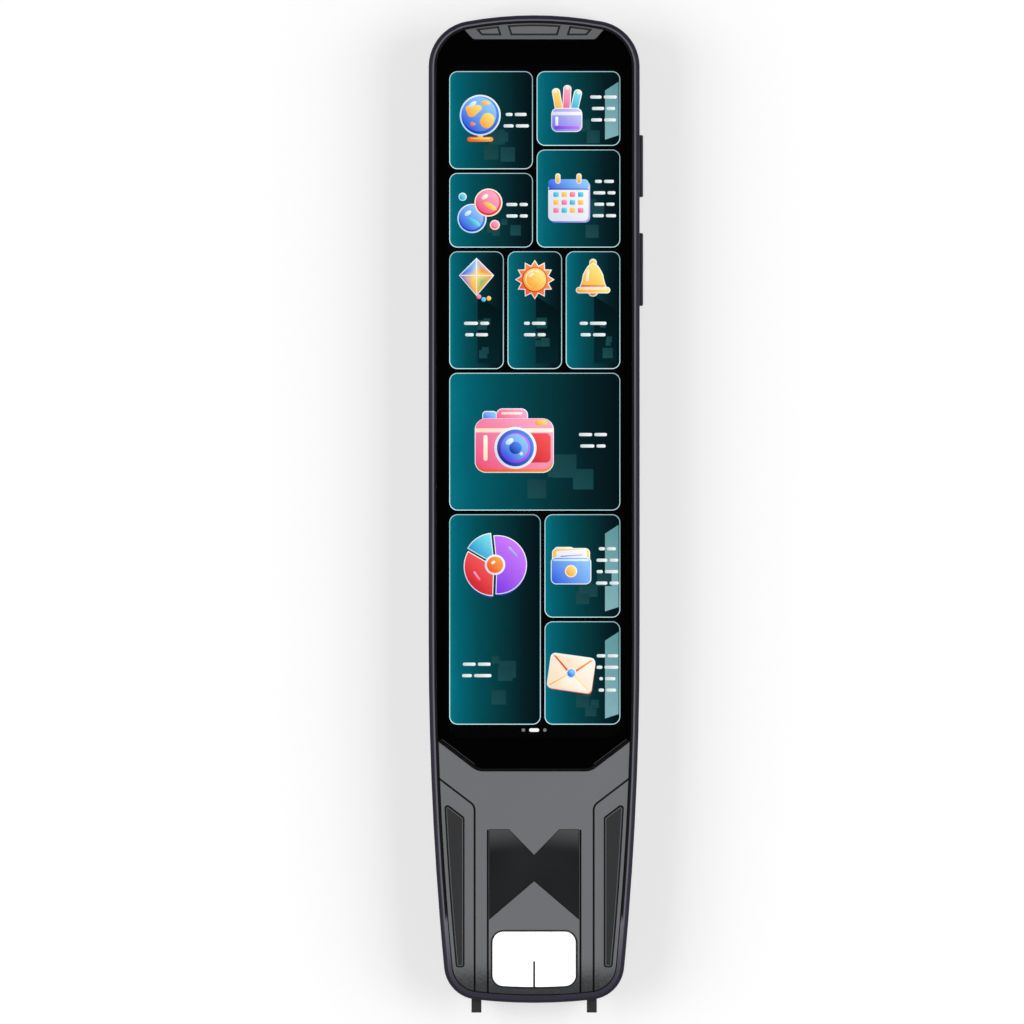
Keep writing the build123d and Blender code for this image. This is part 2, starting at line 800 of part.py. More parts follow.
# ---- top trim with its three inserts
trim_face = clip(recess_face, trim_zone(seam_gap / 2))
insert_limit = outline(shell_wall + seam_gap + insert_margin)
insert_low_y = trim_y + insert_rise
insert_high_y = top_y - shell_wall
lean = (insert_high_y - insert_low_y) * tan(radians(insert_lean))
outer_lean = (insert_high_y - insert_low_y) / tan(radians(trim_slope))
insert_faces = {}
for name, low_x, high_x, low_lean, high_lean in (
    ("left", -insert_outer_x, -insert_half_width - insert_bridge, -outer_lean, -lean),
    ("centre", -insert_half_width, insert_half_width, -lean, lean),
    ("right", insert_half_width + insert_bridge, insert_outer_x, lean, outer_lean),
):
    with BuildSketch() as insert_shape:
        add(insert_limit)
        with BuildSketch(mode=Mode.INTERSECT):
            with BuildLine():
                Polyline(
                    (low_x, insert_low_y),
                    (high_x, insert_low_y),
                    (high_x + high_lean, insert_high_y),
                    (low_x + low_lean, insert_high_y),
                    close=True,
                )
            make_face()
    insert_faces[name] = insert_shape.sketch

with BuildPart() as top_trim:
    raised(trim_face, seat_z, face_z)
    for face in insert_faces.values():
        raised(grown(face, insert_gap), face_z - insert_depth, face_z, mode=Mode.SUBTRACT)
save(top_trim, "top_trim")

for name, face in insert_faces.items():
    with BuildPart() as trim_insert:
        raised(face, face_z - insert_depth, face_z)
    save(trim_insert, f"trim_insert_{name}")

# ---- chin cover with its grooves, two grip inlays and the centre inlay
with BuildSketch() as groove_face:
    with BuildLine() as groove_lines:
        corner_y = chin_y - step_groove_drop
        far_y = corner_y + (body_width - step_groove_x) * tan(radians(chin_slope))
        groove_end_y = tip_y - shell_wall
        for side in (1, -1):
            FilletPolyline(
                (side * body_width, far_y),
                (side * step_groove_x, corner_y),
                (side * step_groove_x, groove_end_y),
                radius=step_groove_round,
            )
            centre_x = side * centre_groove_x
            Line((centre_x, chin_y - badge_top_drop), (centre_x, groove_end_y))
    trace(groove_lines.line, line_width=groove_width)

with BuildSketch() as badge_face:
    badge_top = chin_y - badge_top_drop
    badge_low = badge_top - badge_length
    with BuildLine():
        half_outline = [
            (badge_half_width - badge_shoulder, badge_top),
            (badge_half_width, badge_top),
            (badge_half_width, badge_low),
        ]
        mirrored = [(-x, y) for x, y in reversed(half_outline)]
        notch, foot = (0, badge_top - badge_notch), (0, badge_low + badge_foot)
        Polyline(notch, *half_outline, foot, *mirrored, close=True)
    make_face()

grooves = column(groove_face.sketch, -groove_depth, None)
badge_pocket = column(grown(badge_face.sketch, badge_gap), -badge_depth, None)
grip_pockets = [column(grip_face(side, grip_gap), -grip_depth, None) for side in (1, -1)]
with BuildPart() as lower_cover:
    add(column(clip(recess_face, chin_zone(seam_gap / 2)), -body_thickness, 0))
    split(bisect_by=Plane.XY.offset(chin_seat_z), keep=Keep.TOP)
    top_edges = lower_cover.edges().filter_by_position(Axis.Z, chin_seat_z + fit_gap, above)
    roll_start = top_edges.filter_by_position(Axis.Y, nose_y - fit_gap, nose_y + fit_gap).filter_by(Axis.X)
    chamfer(top_edges.filter_by(Axis.Z, reverse=True) - roll_start, edge_break)
    raised(window_hole, chin_seat_z, above, mode=Mode.SUBTRACT)
    add([grooves, badge_pocket, *grip_pockets], mode=Mode.SUBTRACT)
save(lower_cover, "lower_cover")

for side, name in ((-1, "left"), (1, "right")):
    grip_shape = column(grip_face(side, 0), fit_gap - grip_depth, grip_proud)
    with BuildPart() as grip_inlay:
        add(grip_shape)
    save(grip_inlay, f"grip_inlay_{name}")

badge_shape = column(badge_face.sketch, -badge_depth, -badge_sink)
with BuildPart() as badge_inlay:
    add(badge_shape)
save(badge_inlay, "badge_inlay")

# ---- scan window: front pane with its pointer line, rear pane, the dark chamber between them,
# and the clear pane that closes the chamber's mouth
pointer_y = tip_y + window_margin
pointer_face = area((-pointer_width / 2, pointer_width / 2), (pointer_y, pointer_y + pointer_length))
pane_face = window_face(0)
pane_shape = column(pane_face, -body_thickness, -pane_sink)
pointer_slot = column(pointer_face, -pane_sink - pointer_depth, None)
pointer_shape = column(pointer_face, -pane_sink - pointer_depth, -pane_sink)
with BuildPart() as window_front:
    add(pane_shape)
    split(bisect_by=Plane.XY.offset(chin_seat_z - fit_gap), keep=Keep.TOP)
    raised(flange_face, chamber_top, chin_seat_z)
    add(pointer_slot, mode=Mode.SUBTRACT)
save(window_front, "window_front")

with BuildPart() as window_pointer:
    add(pointer_shape)
    add(pane_shape, mode=Mode.INTERSECT)
save(window_pointer, "window_pointer")

with BuildPart() as window_rear:
    raised(pane_face, pane_sink, rear_floor)
    raised(flange_face, rear_floor, chamber_base)
save(window_rear, "window_rear")

collar_side = mouth_half_width + chamber_wall
collar_area = area((-collar_side, collar_side), (2 * tip_y, tip_y + window_margin + shell_wall))
collar_face = clip(outline(shell_wall + fit_gap), collar_area)
with BuildPart() as scan_chamber:
    raised(window_face(chamber_wall), chamber_base, chamber_top)
    raised(collar_face, rear_height - lip_height, ledge_base - fit_gap)
    raised(pane_face, chamber_base, chamber_top, mode=Mode.SUBTRACT)
    block(
        (-mouth_half_width, mouth_half_width),
        (2 * tip_y, tip_y + 2 * window_margin),
        (frame_base, mouth_top),
        mode=Mode.SUBTRACT,
    )
    for hole_x, radius in ((0, barrel_radius), (light_x, light_radius), (-light_x, light_radius)):
        hole_y = (window_top - shell_wall, chamber_back + shell_wall)
        along(hole_x, camera_z, radius + fit_gap, *hole_y, Mode.SUBTRACT)
save(scan_chamber, "scan_chamber")

mouth_side = mouth_half_width - fit_gap
mouth_pane_face = clip(
    outline(mouth_pane_setback),
    area((-mouth_side, mouth_side), (2 * tip_y, tip_y + window_margin)),
    cut=(outline(mouth_pane_setback + mouth_pane_thickness),),
)
with BuildPart() as scan_pane:
    raised(mouth_pane_face, frame_base + fit_gap, mouth_top - fit_gap)
save(scan_pane, "scan_pane")

# ---- scan board with the camera, its lens, the light guides and the trigger switch
with BuildPart() as scan_board:
    block(
        (-scan_board_x, scan_board_x),
        (scan_board_y, hanger_y),
        (scan_board_base, scan_board_base + scan_board_height),
    )
save(scan_board, "scan_board")

with BuildPart() as camera_housing:
    block(
        (-camera_width / 2, camera_width / 2),
        (chamber_back + fit_gap, scan_board_y),
        (camera_z - camera_height / 2, camera_z + camera_height / 2),
    )
    fillet(camera_housing.edges().filter_by(Axis.Y), lens_round)
    along(0, camera_z, barrel_radius, chamber_back - barrel_length, chamber_back + shell_wall)
    lens_seat_y = chamber_back - barrel_length + lens_thickness
    along(0, camera_z, lens_radius + pin_seat_gap, chamber_back - shell_wall, lens_seat_y, Mode.SUBTRACT)
save(camera_housing, "camera_housing")

with BuildPart() as camera_lens:
    along(0, camera_z, lens_radius, lens_seat_y - lens_thickness, lens_seat_y)
    fillet(camera_lens.edges().group_by(Axis.Y)[0], lens_round)
save(camera_lens, "camera_lens")

with BuildPart() as light_guides:
    for side in (1, -1):
        along(side * light_x, camera_z, light_radius, window_top, scan_board_y)
save(light_guides, "light_guides")

with BuildPart() as trigger_switch:
    block(
        (-switch_width / 2, switch_width / 2),
        (switch_y, scan_board_y),
        (switch_z - switch_height / 2, switch_z + switch_height / 2),
    )
    along(0, switch_z, plunger_radius, plunger_tip_y, switch_y)
save(trigger_switch, "trigger_switch")

with BuildPart() as tip_ribbon:
    block(ribbon_side, (hanger_y, connector_high_y), (tape_base, plate_base))
save(tip_ribbon, "tip_ribbon")

# ---- scan trigger: two prongs on one yoke, each with a coil spring behind it
with BuildPart() as trigger_yoke:
    prong_side = (prong_z - prong_height / 2, prong_z + prong_height / 2)
    for side in (1, -1):
        leg_side = (side * prong_x - prong_width / 2, side * prong_x + prong_width / 2)
        block(leg_side, (tip_y - prong_proud, leg_end_y), prong_side)
    fillet(trigger_yoke.edges().group_by(Axis.Y)[0], edge_break)
    for side in (1, -1):
        shoulder_half = prong_width / 2 + shoulder_step
        shoulder_side = (side * prong_x - shoulder_half, side * prong_x + shoulder_half)
        shoulder_end_y = tip_y + shell_wall + shoulder_length
        raised(clip(recess_face, area(shoulder_side, (2 * tip_y, shoulder_end_y))), *prong_side)
        along(side * prong_x, prong_z, guide_radius, leg_end_y, leg_end_y + guide_length)
    block((-prong_x, prong_x), (crossbar_y, leg_end_y), (prong_z, crossbar_top))
save(trigger_yoke, "trigger_yoke")

with BuildPart() as trigger_springs:
    coil_length = spring_length - spring_wire - 2 * fit_gap
    coil_y = leg_end_y + spring_wire / 2 + fit_gap
    for side in (1, -1):
        coil_centre = (side * prong_x, coil_y, prong_z)
        coil_pitch = coil_length / spring_turns
        with BuildLine() as coil:
            Helix(coil_pitch, coil_length, spring_radius, center=coil_centre, direction=(0, 1, 0))
        with BuildSketch(Plane(coil.line @ 0, z_dir=coil.line % 0)):
            Circle(spring_wire / 2)
        sweep(path=coil.line)
save(trigger_springs, "trigger_springs")

# ---- side keys: the power button slides in, the volume rocker tilts on its pin
with BuildPart() as power_button:
    with BuildSketch(Plane.YZ.offset(power_flange_x)):
        with Locations((power_y, key_z)):
            RectangleRounded(power_length, key_height, key_round)
    extrude(amount=key_face_x - power_flange_x)
    fillet(power_button.faces().sort_by(Axis.X)[-1].edges(), key_soft_edge)
    half_flange = power_length / 2 + key_lap
    block(
        (power_flange_x, power_flange_x + key_flange_thickness),
        (power_y - half_flange, power_y + half_flange),
        (key_low, key_high),
    )
    across(power_y, key_z, nib_radius, power_flange_x - nib_length, power_flange_x)
save(power_button, "power_button")

with BuildPart() as volume_rocker:
    with BuildSketch(Plane.YZ.offset(rocker_flange_x)):
        with Locations((rocker_y, key_z)):
            RectangleRounded(rocker_length, key_height, key_round)
    extrude(amount=key_face_x - rocker_flange_x)
    fillet(volume_rocker.faces().sort_by(Axis.X)[-1].edges(), key_soft_edge)
    half_flange = rocker_length / 2 + key_lap
    block(
        (rocker_flange_x, rocker_flange_x + key_flange_thickness),
        (rocker_y - half_flange, rocker_y + half_flange),
        (key_low, key_high),
    )
    upright(pin_place, rocker_hub_radius, key_low, key_high)
    for arm in (rocker_arm, -rocker_arm):
        across(rocker_y + arm, key_z, nib_radius, rocker_flange_x - nib_length, rocker_flange_x)
    upright(pin_place, pin_radius + pin_clearance, key_low, key_high, mode=Mode.SUBTRACT)
save(volume_rocker, "volume_rocker")

with BuildPart() as rocker_pin:
    upright(pin_place, pin_radius, key_low - pin_entry, key_high + pin_entry)
save(rocker_pin, "rocker_pin")

with BuildPart() as key_board:
    block(
        (key_rib_x, key_board_x),
        (key_board_low, key_board_high),
        (key_z - key_board_height / 2, key_z + key_board_height / 2),
    )
    block(
        (key_clear_x - key_tail_lap, key_board_x),
        (key_board_low, key_board_low + key_tail_length - air_gap),
        (board_top, board_top + tape_thickness),
    )
save(key_board, "key_board")

with BuildPart() as key_switches:
    for centre_y, dome_x in (
        (power_y, power_dome_x),
        (rocker_y + rocker_arm, rocker_dome_x),
        (rocker_y - rocker_arm, rocker_dome_x),
    ):
        block(
            (key_board_x, dome_x),
            (centre_y - dome_length / 2, centre_y + dome_length / 2),
            (key_z - dome_height / 2, key_z + dome_height / 2),
        )
save(key_switches, "key_switches")

# ---- main board and what is on it
usb_notch = area((-usb_width / 2 - seam_gap, usb_width / 2 + seam_gap), (usb_back_y - seam_gap, 2 * top_y))
key_notch_y = (
    rocker_y - rocker_length / 2 - key_lap - 2 * air_gap,
    power_y + power_length / 2 + key_lap + 2 * air_gap,
)
key_notch = area((key_clear_x, body_width), key_notch_y)
with BuildPart() as main_board:
    board_face = clip(outline(board_edge), strip(board_low_y, top_y), cut=(usb_notch, key_notch))
    raised(board_face, board_base, board_top)
    upright(screw_places, post_radius + air_gap, 0, above, mode=Mode.SUBTRACT)
    upright(board_screw_places, board_screw_radius + fit_gap, 0, above, mode=Mode.SUBTRACT)
save(main_board, "main_board")

with BuildPart() as processor_shield:
    shield_y = top_y - shield_from_top
    block(
        (shield_x - shield_width / 2, shield_x + shield_width / 2),
        (shield_y - shield_length / 2, shield_y + shield_length / 2),
        (board_top, board_top + shield_height),
    )
    fillet(processor_shield.edges().filter_by(Axis.Z), shield_round)
save(processor_shield, "processor_shield")

with BuildPart() as memory_chip:
    block(
        (shield_x - memory_size / 2, shield_x + memory_size / 2),
        (shield_y - memory_size / 2, shield_y + memory_size / 2),
        (board_base - memory_height, board_base),
    )
save(memory_chip, "memory_chip")

with BuildPart() as wireless_module:
    wireless_y = top_y - wireless_from_top
    block(
        (-wireless_width / 2, wireless_width / 2),
        (wireless_y - wireless_length / 2, wireless_y + wireless_length / 2),
        (board_base - wireless_height, board_base),
    )
save(wireless_module, "wireless_module")

with BuildPart() as antenna_strip:
    antenna_low_y = board_screw_y + board_post_radius + air_gap
    block(
        (antenna_x, antenna_x + antenna_width),
        (antenna_low_y, antenna_low_y + antenna_length),
        (plate_base - antenna_thickness, plate_base),
    )
save(antenna_strip, "antenna_strip")

with BuildPart() as microphones:
    for side in (1, -1):
        block(
            (side * microphone_x - microphone_size / 2, side * microphone_x + microphone_size / 2),
            (sound_hole_y, sound_hole_y + microphone_size),
            (board_top, board_top + microphone_thickness),
        )
save(microphones, "microphones")

with BuildPart() as board_connectors:
    tab_side = (-battery_tab_width / 2 - air_gap, battery_tab_width / 2 + air_gap)
    for side, level in (
        (tape_side, (board_top, tape_base)),
        (ribbon_side, (board_top, tape_base)),
        (tab_side, (battery_tab_z + tape_thickness, board_base)),
    ):
        block(side, (connector_low_y, connector_high_y), level)
save(board_connectors, "board_connectors")

usb_inside = (usb_width - 2 * usb_wall, usb_height - 2 * usb_wall, usb_height / 2 - usb_wall - fit_gap)
with BuildPart() as usb_shell:
    with BuildSketch(Plane.XZ.offset(-usb_back_y)):
        with Locations((0, usb_z)):
            RectangleRounded(usb_width, usb_height, usb_height / 2 - fit_gap)
            RectangleRounded(*usb_inside, mode=Mode.SUBTRACT)
    extrude(amount=-usb_depth)
save(usb_shell, "usb_shell")

with BuildPart() as usb_tongue:
    with BuildSketch(Plane.XZ.offset(-usb_back_y)):
        with Locations((0, usb_z)):
            RectangleRounded(*usb_inside)
    extrude(amount=-usb_back)
    block(
        (-tongue_width / 2, tongue_width / 2),
        (usb_back_y, usb_back_y + usb_back + tongue_length),
        (usb_z - tongue_thickness / 2, usb_z + tongue_thickness / 2),
    )
save(usb_tongue, "usb_tongue")

# ---- battery on its pad, with the tab that runs to the board
with BuildPart() as battery_cell:
    block(
        (-battery_half_width, battery_half_width),
        (battery_low_y, battery_high_y),
        (battery_base, battery_base + battery_thickness),
    )
    fillet(battery_cell.edges().filter_by(Axis.Y), battery_edge_radius)
save(battery_cell, "battery_cell")

with BuildPart() as battery_pad:
    pad_side = battery_half_width - battery_edge_radius
    block(
        (-pad_side, pad_side),
        (battery_low_y + battery_edge_radius, battery_high_y - battery_edge_radius),
        (rear_floor, battery_base),
    )
save(battery_pad, "battery_pad")

with BuildPart() as battery_tab:
    block(
        (-battery_tab_width / 2, battery_tab_width / 2),
        (battery_high_y, connector_high_y),
        (battery_tab_z, battery_tab_z + tape_thickness),
    )
save(battery_tab, "battery_tab")

# ---- speaker over its mesh and grille, fed from the ribbon by two spring contacts
with BuildPart() as speaker_box:
    block(
        (-speaker_width / 2, speaker_width / 2),
        (speaker_low_y, speaker_low_y + speaker_length),
        (speaker_base, speaker_top),
    )
    fillet(speaker_box.edges().filter_by(Axis.Z), speaker_round)
save(speaker_box, "speaker_box")

with BuildPart() as speaker_mesh:
    mesh_x = (grille_columns - 1) * grille_spacing / 2 + grille_radius + mesh_margin
    mesh_y = (grille_rows - 1) * grille_spacing / 2 + grille_radius + mesh_margin
    block((-mesh_x, mesh_x), (speaker_y - mesh_y, speaker_y + mesh_y), (rear_floor, speaker_base))
save(speaker_mesh, "speaker_mesh")

with BuildPart() as speaker_contacts:
    contact_places = [(ribbon_x, speaker_y + s * contact_spacing / 2) for s in (1, -1)]
    upright(contact_places, contact_radius, speaker_top, tape_base)
save(speaker_contacts, "speaker_contacts")

# ---- screws: four countersunk case screws from the back, four small pan-head screws for the board
with BuildPart() as case_screws:
    upright(screw_places, screw_radius, screw_sink, screw_sink + screw_length)
    with Locations([(x, y, screw_sink) for x, y in screw_places]):
        Cone(screw_head_radius, screw_radius, screw_head_height, align=upward)
        for turn in (0, 90):
            with Locations(Rotation(0, 0, turn)):
                Box(screw_slot_length, screw_slot, 2 * screw_slot_depth, mode=Mode.SUBTRACT)
save(case_screws, "case_screws")

with BuildPart() as board_screws:
    head_base = board_base - board_screw_head_height
    upright(board_screw_places, board_screw_head_radius, head_base, board_base)
    upright(board_screw_places, board_screw_radius, board_base, board_base + board_screw_length)
save(board_screws, "board_screws")
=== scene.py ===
import json
import math

import bmesh
import bpy
import mathutils
import numpy as np
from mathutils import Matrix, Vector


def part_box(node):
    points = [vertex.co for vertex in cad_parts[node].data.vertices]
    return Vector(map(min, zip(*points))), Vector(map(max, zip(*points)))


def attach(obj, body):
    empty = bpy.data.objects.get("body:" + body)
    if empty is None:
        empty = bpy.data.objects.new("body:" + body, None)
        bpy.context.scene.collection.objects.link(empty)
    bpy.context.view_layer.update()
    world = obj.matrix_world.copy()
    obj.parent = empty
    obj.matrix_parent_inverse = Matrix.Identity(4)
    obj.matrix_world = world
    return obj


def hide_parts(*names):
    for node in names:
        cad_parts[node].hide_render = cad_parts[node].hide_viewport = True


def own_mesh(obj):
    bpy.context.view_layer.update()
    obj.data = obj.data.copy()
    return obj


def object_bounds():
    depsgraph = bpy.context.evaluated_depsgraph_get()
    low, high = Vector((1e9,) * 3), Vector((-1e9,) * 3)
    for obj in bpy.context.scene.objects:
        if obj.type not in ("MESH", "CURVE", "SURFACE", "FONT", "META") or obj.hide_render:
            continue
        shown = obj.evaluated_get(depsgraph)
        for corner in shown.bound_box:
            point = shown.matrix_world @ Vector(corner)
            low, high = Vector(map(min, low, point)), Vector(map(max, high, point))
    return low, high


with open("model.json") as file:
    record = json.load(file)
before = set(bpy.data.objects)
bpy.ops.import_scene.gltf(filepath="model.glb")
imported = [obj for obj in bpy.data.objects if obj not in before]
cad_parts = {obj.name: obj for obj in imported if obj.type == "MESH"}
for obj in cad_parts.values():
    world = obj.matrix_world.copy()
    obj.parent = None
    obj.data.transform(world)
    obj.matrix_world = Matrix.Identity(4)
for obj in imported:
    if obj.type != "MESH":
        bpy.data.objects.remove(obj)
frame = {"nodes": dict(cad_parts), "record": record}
cad_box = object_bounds()
mm = 0.001


# ---- camera: square above the pen and a little left of its middle, far enough off that the sides don't
# spread. It looks straight down, with the pen's top end up.
view_height = 174.6 * mm  # seen from edge to edge, level with the face
camera_height = 3.0
look_at = (-3.775 * mm, -0.48 * mm)
face_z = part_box("front_glass")[1].z

lens = bpy.data.cameras.new("camera")
lens.lens = lens.sensor_width * camera_height / view_height
camera = bpy.data.objects.new("camera", lens)
camera.location = (*look_at, face_z + camera_height)
bpy.context.scene.collection.objects.link(camera)
bpy.context.scene.camera = camera
bpy.context.scene.view_settings.view_transform = "Standard"


# ---- floor: a white studio table that the pen lies on. It is plain white to the lens and through the
# pen's clear window, keeps the pen's soft shadow, and isn't seen from below.
class Wire:
    """One socket of a finish's nodes. Python's signs add Math nodes, and blend() mixes two colours."""

    def __init__(self, tree, socket=None):
        self.tree = tree
        self.socket = socket

    def node(self, kind, settings=None, inputs=None, output=0):
        """Adds a node: its settings are set first, then each of its sockets gets a value or a wire."""
        made = self.tree.nodes.new(kind)
        for setting, value in (settings or {}).items():
            if setting == "stops":
                scale = made.color_ramp.elements
                scale.remove(scale[1])
                scale[0].position, scale[0].color = value[0]
                for position, colour in value[1:]:
                    scale.new(position).color = colour
            else:
                setattr(made, setting, value)
        for socket, value in (inputs or {}).items():
            if isinstance(value, Wire):
                self.tree.links.new(value.socket, made.inputs[socket])
            else:
                made.inputs[socket].default_value = value
        return Wire(self.tree, made.outputs[output] if len(made.outputs) else None)

    def maths(self, operation, *values):
        """A Math node on these values or wires."""
        return self.node("ShaderNodeMath", {"operation": operation}, dict(enumerate(values)))

    def __add__(self, other):
        return self.maths("ADD", self, other)

    def __radd__(self, other):
        return self.maths("ADD", other, self)

    def __sub__(self, other):
        return self.maths("SUBTRACT", self, other)

    def __rsub__(self, other):
        return self.maths("SUBTRACT", other, self)

    def __mul__(self, other):
        return self.maths("MULTIPLY", self, other)

    def __rmul__(self, other):
        return self.maths("MULTIPLY", other, self)

    def __abs__(self):
        return self.maths("ABSOLUTE", self)

    def __pow__(self, other):
        return self.maths("POWER", self, other)

    def blend(self, low, high):
        """The first colour where this wire is 0 and the second where it is 1."""
        return self.node("ShaderNodeMix", {"data_type": "RGBA"}, {0: self, 6: low, 7: high}, output=2)

    def rise(self, start, end):
        """0 up to start, 1 from end on, and a smooth slope between them."""
        sockets = {"Value": self, "From Min": start, "From Max": end}
        return self.node("ShaderNodeMapRange", {"interpolation_type": "SMOOTHSTEP"}, sockets)

    def part(self, letter):
        """One of the three numbers of a vector, by its letter."""
        return self.node("ShaderNodeSeparateXYZ", {}, {0: self}, output="XYZ".index(letter))

    def stretch(self, x, y, z):
        """A vector with its three numbers multiplied by these."""
        return self.node("ShaderNodeVectorMath", {"operation": "MULTIPLY"}, {0: self, 1: (x, y, z)})

    def away(self, x, y, z):
        """How far a place is from this point."""
        sockets = {0: self, 1: (x, y, z)}
        return self.node("ShaderNodeVectorMath", {"operation": "DISTANCE"}, sockets, output=1)

    def ripple(self, pitch):
        """A wave from 0 to 1 that repeats every pitch of this length."""
        return 0.5 + 0.5 * self.maths("SINE", self * (2 * math.pi / pitch))

    def noise(self, size, detail=2.0):
        """Soft noise from 0 to 1 over this vector, with lumps of about this size."""
        sockets = {"Vector": self, "Scale": 1 / size, "Detail": detail}
        return self.node("ShaderNodeTexNoise", {}, sockets)

    def bump(self, height):
        """The surface's normal where this wire, from 0 to 1, raises it by up to this height."""
        return self.node("ShaderNodeBump", {}, {"Height": self, "Distance": height})

    def principled(self, sockets):
        """The one shader of most finishes, with these values and wires on its sockets."""
        return self.node("ShaderNodeBsdfPrincipled", {}, sockets)


def tint(red, green, blue):
    """A colour as a screen shows it, from 0 to 255, turned into the light that it stands for."""
    share = np.array([red, green, blue]) / 255
    light = np.where(share <= 0.04045, share / 12.92, ((share + 0.055) / 1.055) ** 2.4)
    return (*light.tolist(), 1.0)


def open_finish(name):
    """An empty material, and the wire of its Object coordinates to start its nodes from."""
    material = bpy.data.materials.new(name)
    material.use_nodes = True
    material.node_tree.nodes.clear()
    place = Wire(material.node_tree).node("ShaderNodeTexCoord", output="Object")
    return material, place


def close_finish(material, shader):
    """Sends a shader to the material's surface."""
    shader.node("ShaderNodeOutputMaterial", {}, {"Surface": shader})
    return material


merge_distance = 1e-8  # in metres: points closer than this are one


def skin(name, grids, finish, ring=False):
    """A mesh over grids of points. Each row of a grid is a loop round the piece, and neighbouring loops
    are joined by faces. With ring the last loop joins the first; without it a loop that is one point
    closes the skin as a pole. A grid holds x, y and z, and may hold red, green and blue after them."""
    points, faces, shades, start = [], [], [], 0
    for grid in grids:
        rows, columns, width = grid.shape
        index = start + np.arange(rows * columns).reshape(rows, columns)
        index = np.concatenate([index, index[:, :1]], axis=1)
        if ring:
            index = np.concatenate([index, index[:1]])
        corners = [index[:-1, :-1], index[:-1, 1:], index[1:, 1:], index[1:, :-1]]
        faces.append(np.stack(corners, -1).reshape(-1, 4))
        points.append(grid[..., :3].reshape(-1, 3))
        shades.append(grid[..., 3:].reshape(rows * columns, width - 3))
        start += rows * columns
    mesh = bpy.data.meshes.new(name)
    mesh.from_pydata(np.concatenate(points).tolist(), [], np.concatenate(faces).tolist())
    if shades[0].shape[1]:
        colours = np.ones((start, 4), np.float32)
        colours[:, :3] = np.concatenate(shades)
        layer = mesh.color_attributes.new("shade", "FLOAT_COLOR", "POINT")
        layer.data.foreach_set("color", colours.ravel())
    form = bmesh.new()
    form.from_mesh(mesh)
    bmesh.ops.remove_doubles(form, verts=form.verts, dist=merge_distance)
    form.to_mesh(mesh)
    form.free()
    mesh.materials.append(finish)
    piece = bpy.data.objects.new(name, mesh)
    bpy.context.scene.collection.objects.link(piece)
    return piece


floor_reach = 4.0
floor_drop = 0.05 * mm  # below the pen's back
ring_count, spoke_count = 9, 64
floor_rings = np.linspace(1, 0, ring_count) ** 2 * floor_reach  # closer together near the pen
floor_turns = np.linspace(0, 2 * math.pi, spoke_count, endpoint=False)
floor_x = np.outer(floor_rings, np.cos(floor_turns))
floor_y = np.outer(floor_rings, np.sin(floor_turns))
floor_grid = np.stack([floor_x, floor_y, np.full_like(floor_x, cad_box[0].z - floor_drop)], -1)

floor_finish, place = open_finish("white_table")
paper = place.noise(0.4).blend(tint(200, 200, 200), tint(206, 206, 206))
lit = place.node("ShaderNodeBsdfDiffuse", {}, {"Color": paper})
seen = place.node("ShaderNodeLightPath", output="Is Camera Ray")
mirrored = place.node("ShaderNodeLightPath", output="Is Glossy Ray")
through = place.node("ShaderNodeLightPath", output="Is Transmission Ray")
near_glow, far_glow, mirrored_glow, through_glow = 0.5, 0.4, 0.1, 1.2
far_off = place.away(0, 0, 0).rise(0.2, 0.9)  # where less of the lamps' light arrives
seen_glow = (near_glow + far_glow * far_off) * seen
glow = seen_glow + mirrored_glow * mirrored + through_glow * through
shine = place.node("ShaderNodeEmission", {}, {"Strength": glow})
table = place.node("ShaderNodeAddShader", {}, {0: lit, 1: shine})
below = place.node("ShaderNodeNewGeometry", output="Backfacing")
nothing = place.node("ShaderNodeBsdfTransparent")
close_finish(floor_finish, place.node("ShaderNodeMixShader", {}, {0: below, 1: table, 2: nothing}))
skin("floor", [floor_grid], floor_finish)


# ---- light: a pale room that darkens overhead, so that the black glass stays black from the front, and
# a wide soft lamp on each side of the pen.
world = bpy.data.worlds.new("studio")
bpy.context.scene.world = world
world.use_nodes = True
world.node_tree.nodes.clear()
room = Wire(world.node_tree)
upness = abs(room.node("ShaderNodeTexCoord", output="Generated").part("Z"))
grey = [(0.0, 1.0), (0.25, 0.66), (0.45, 0.36), (0.8, 0.09), (1.0, 0.02)]
stops = [(share, (light, light, light, 1)) for share, light in grey]
walls = upness.node("ShaderNodeValToRGB", {"stops": stops}, {0: upness})
sky = room.node("ShaderNodeBackground", {}, {"Color": walls})
room.node("ShaderNodeOutputWorld", {}, {"Surface": sky})

lamp_reach, lamp_height, lamp_size, lamp_power = 0.75, 0.7, 0.7, 5.5
for side, name in ((-1, "lamp_left"), (1, "lamp_right")):
    lamp = bpy.data.lights.new(name, "AREA")
    lamp.size = lamp_size
    lamp.energy = lamp_power
    stand = bpy.data.objects.new(name, lamp)
    stand.location = (side * lamp_reach, 0, lamp_height)
    stand.rotation_euler = (0, math.atan2(side * lamp_reach, lamp_height), 0)
    stand.visible_camera = False
    bpy.context.scene.collection.objects.link(stand)


# ---- rear cover: a shallow tray of dark moulded plastic, finely textured, with a plain recess for a
# label. Four countersunk steel screws hold it from behind.
def dress(finish, *nodes):
    """Gives CAD nodes their finish."""
    for node in nodes:
        for slot in frame["nodes"][node].material_slots:
            slot.material = finish


def toned(colour, share):
    """A colour made darker or lighter: its light is multiplied by this share."""
    return (*[part * share for part in colour[:3]], 1)


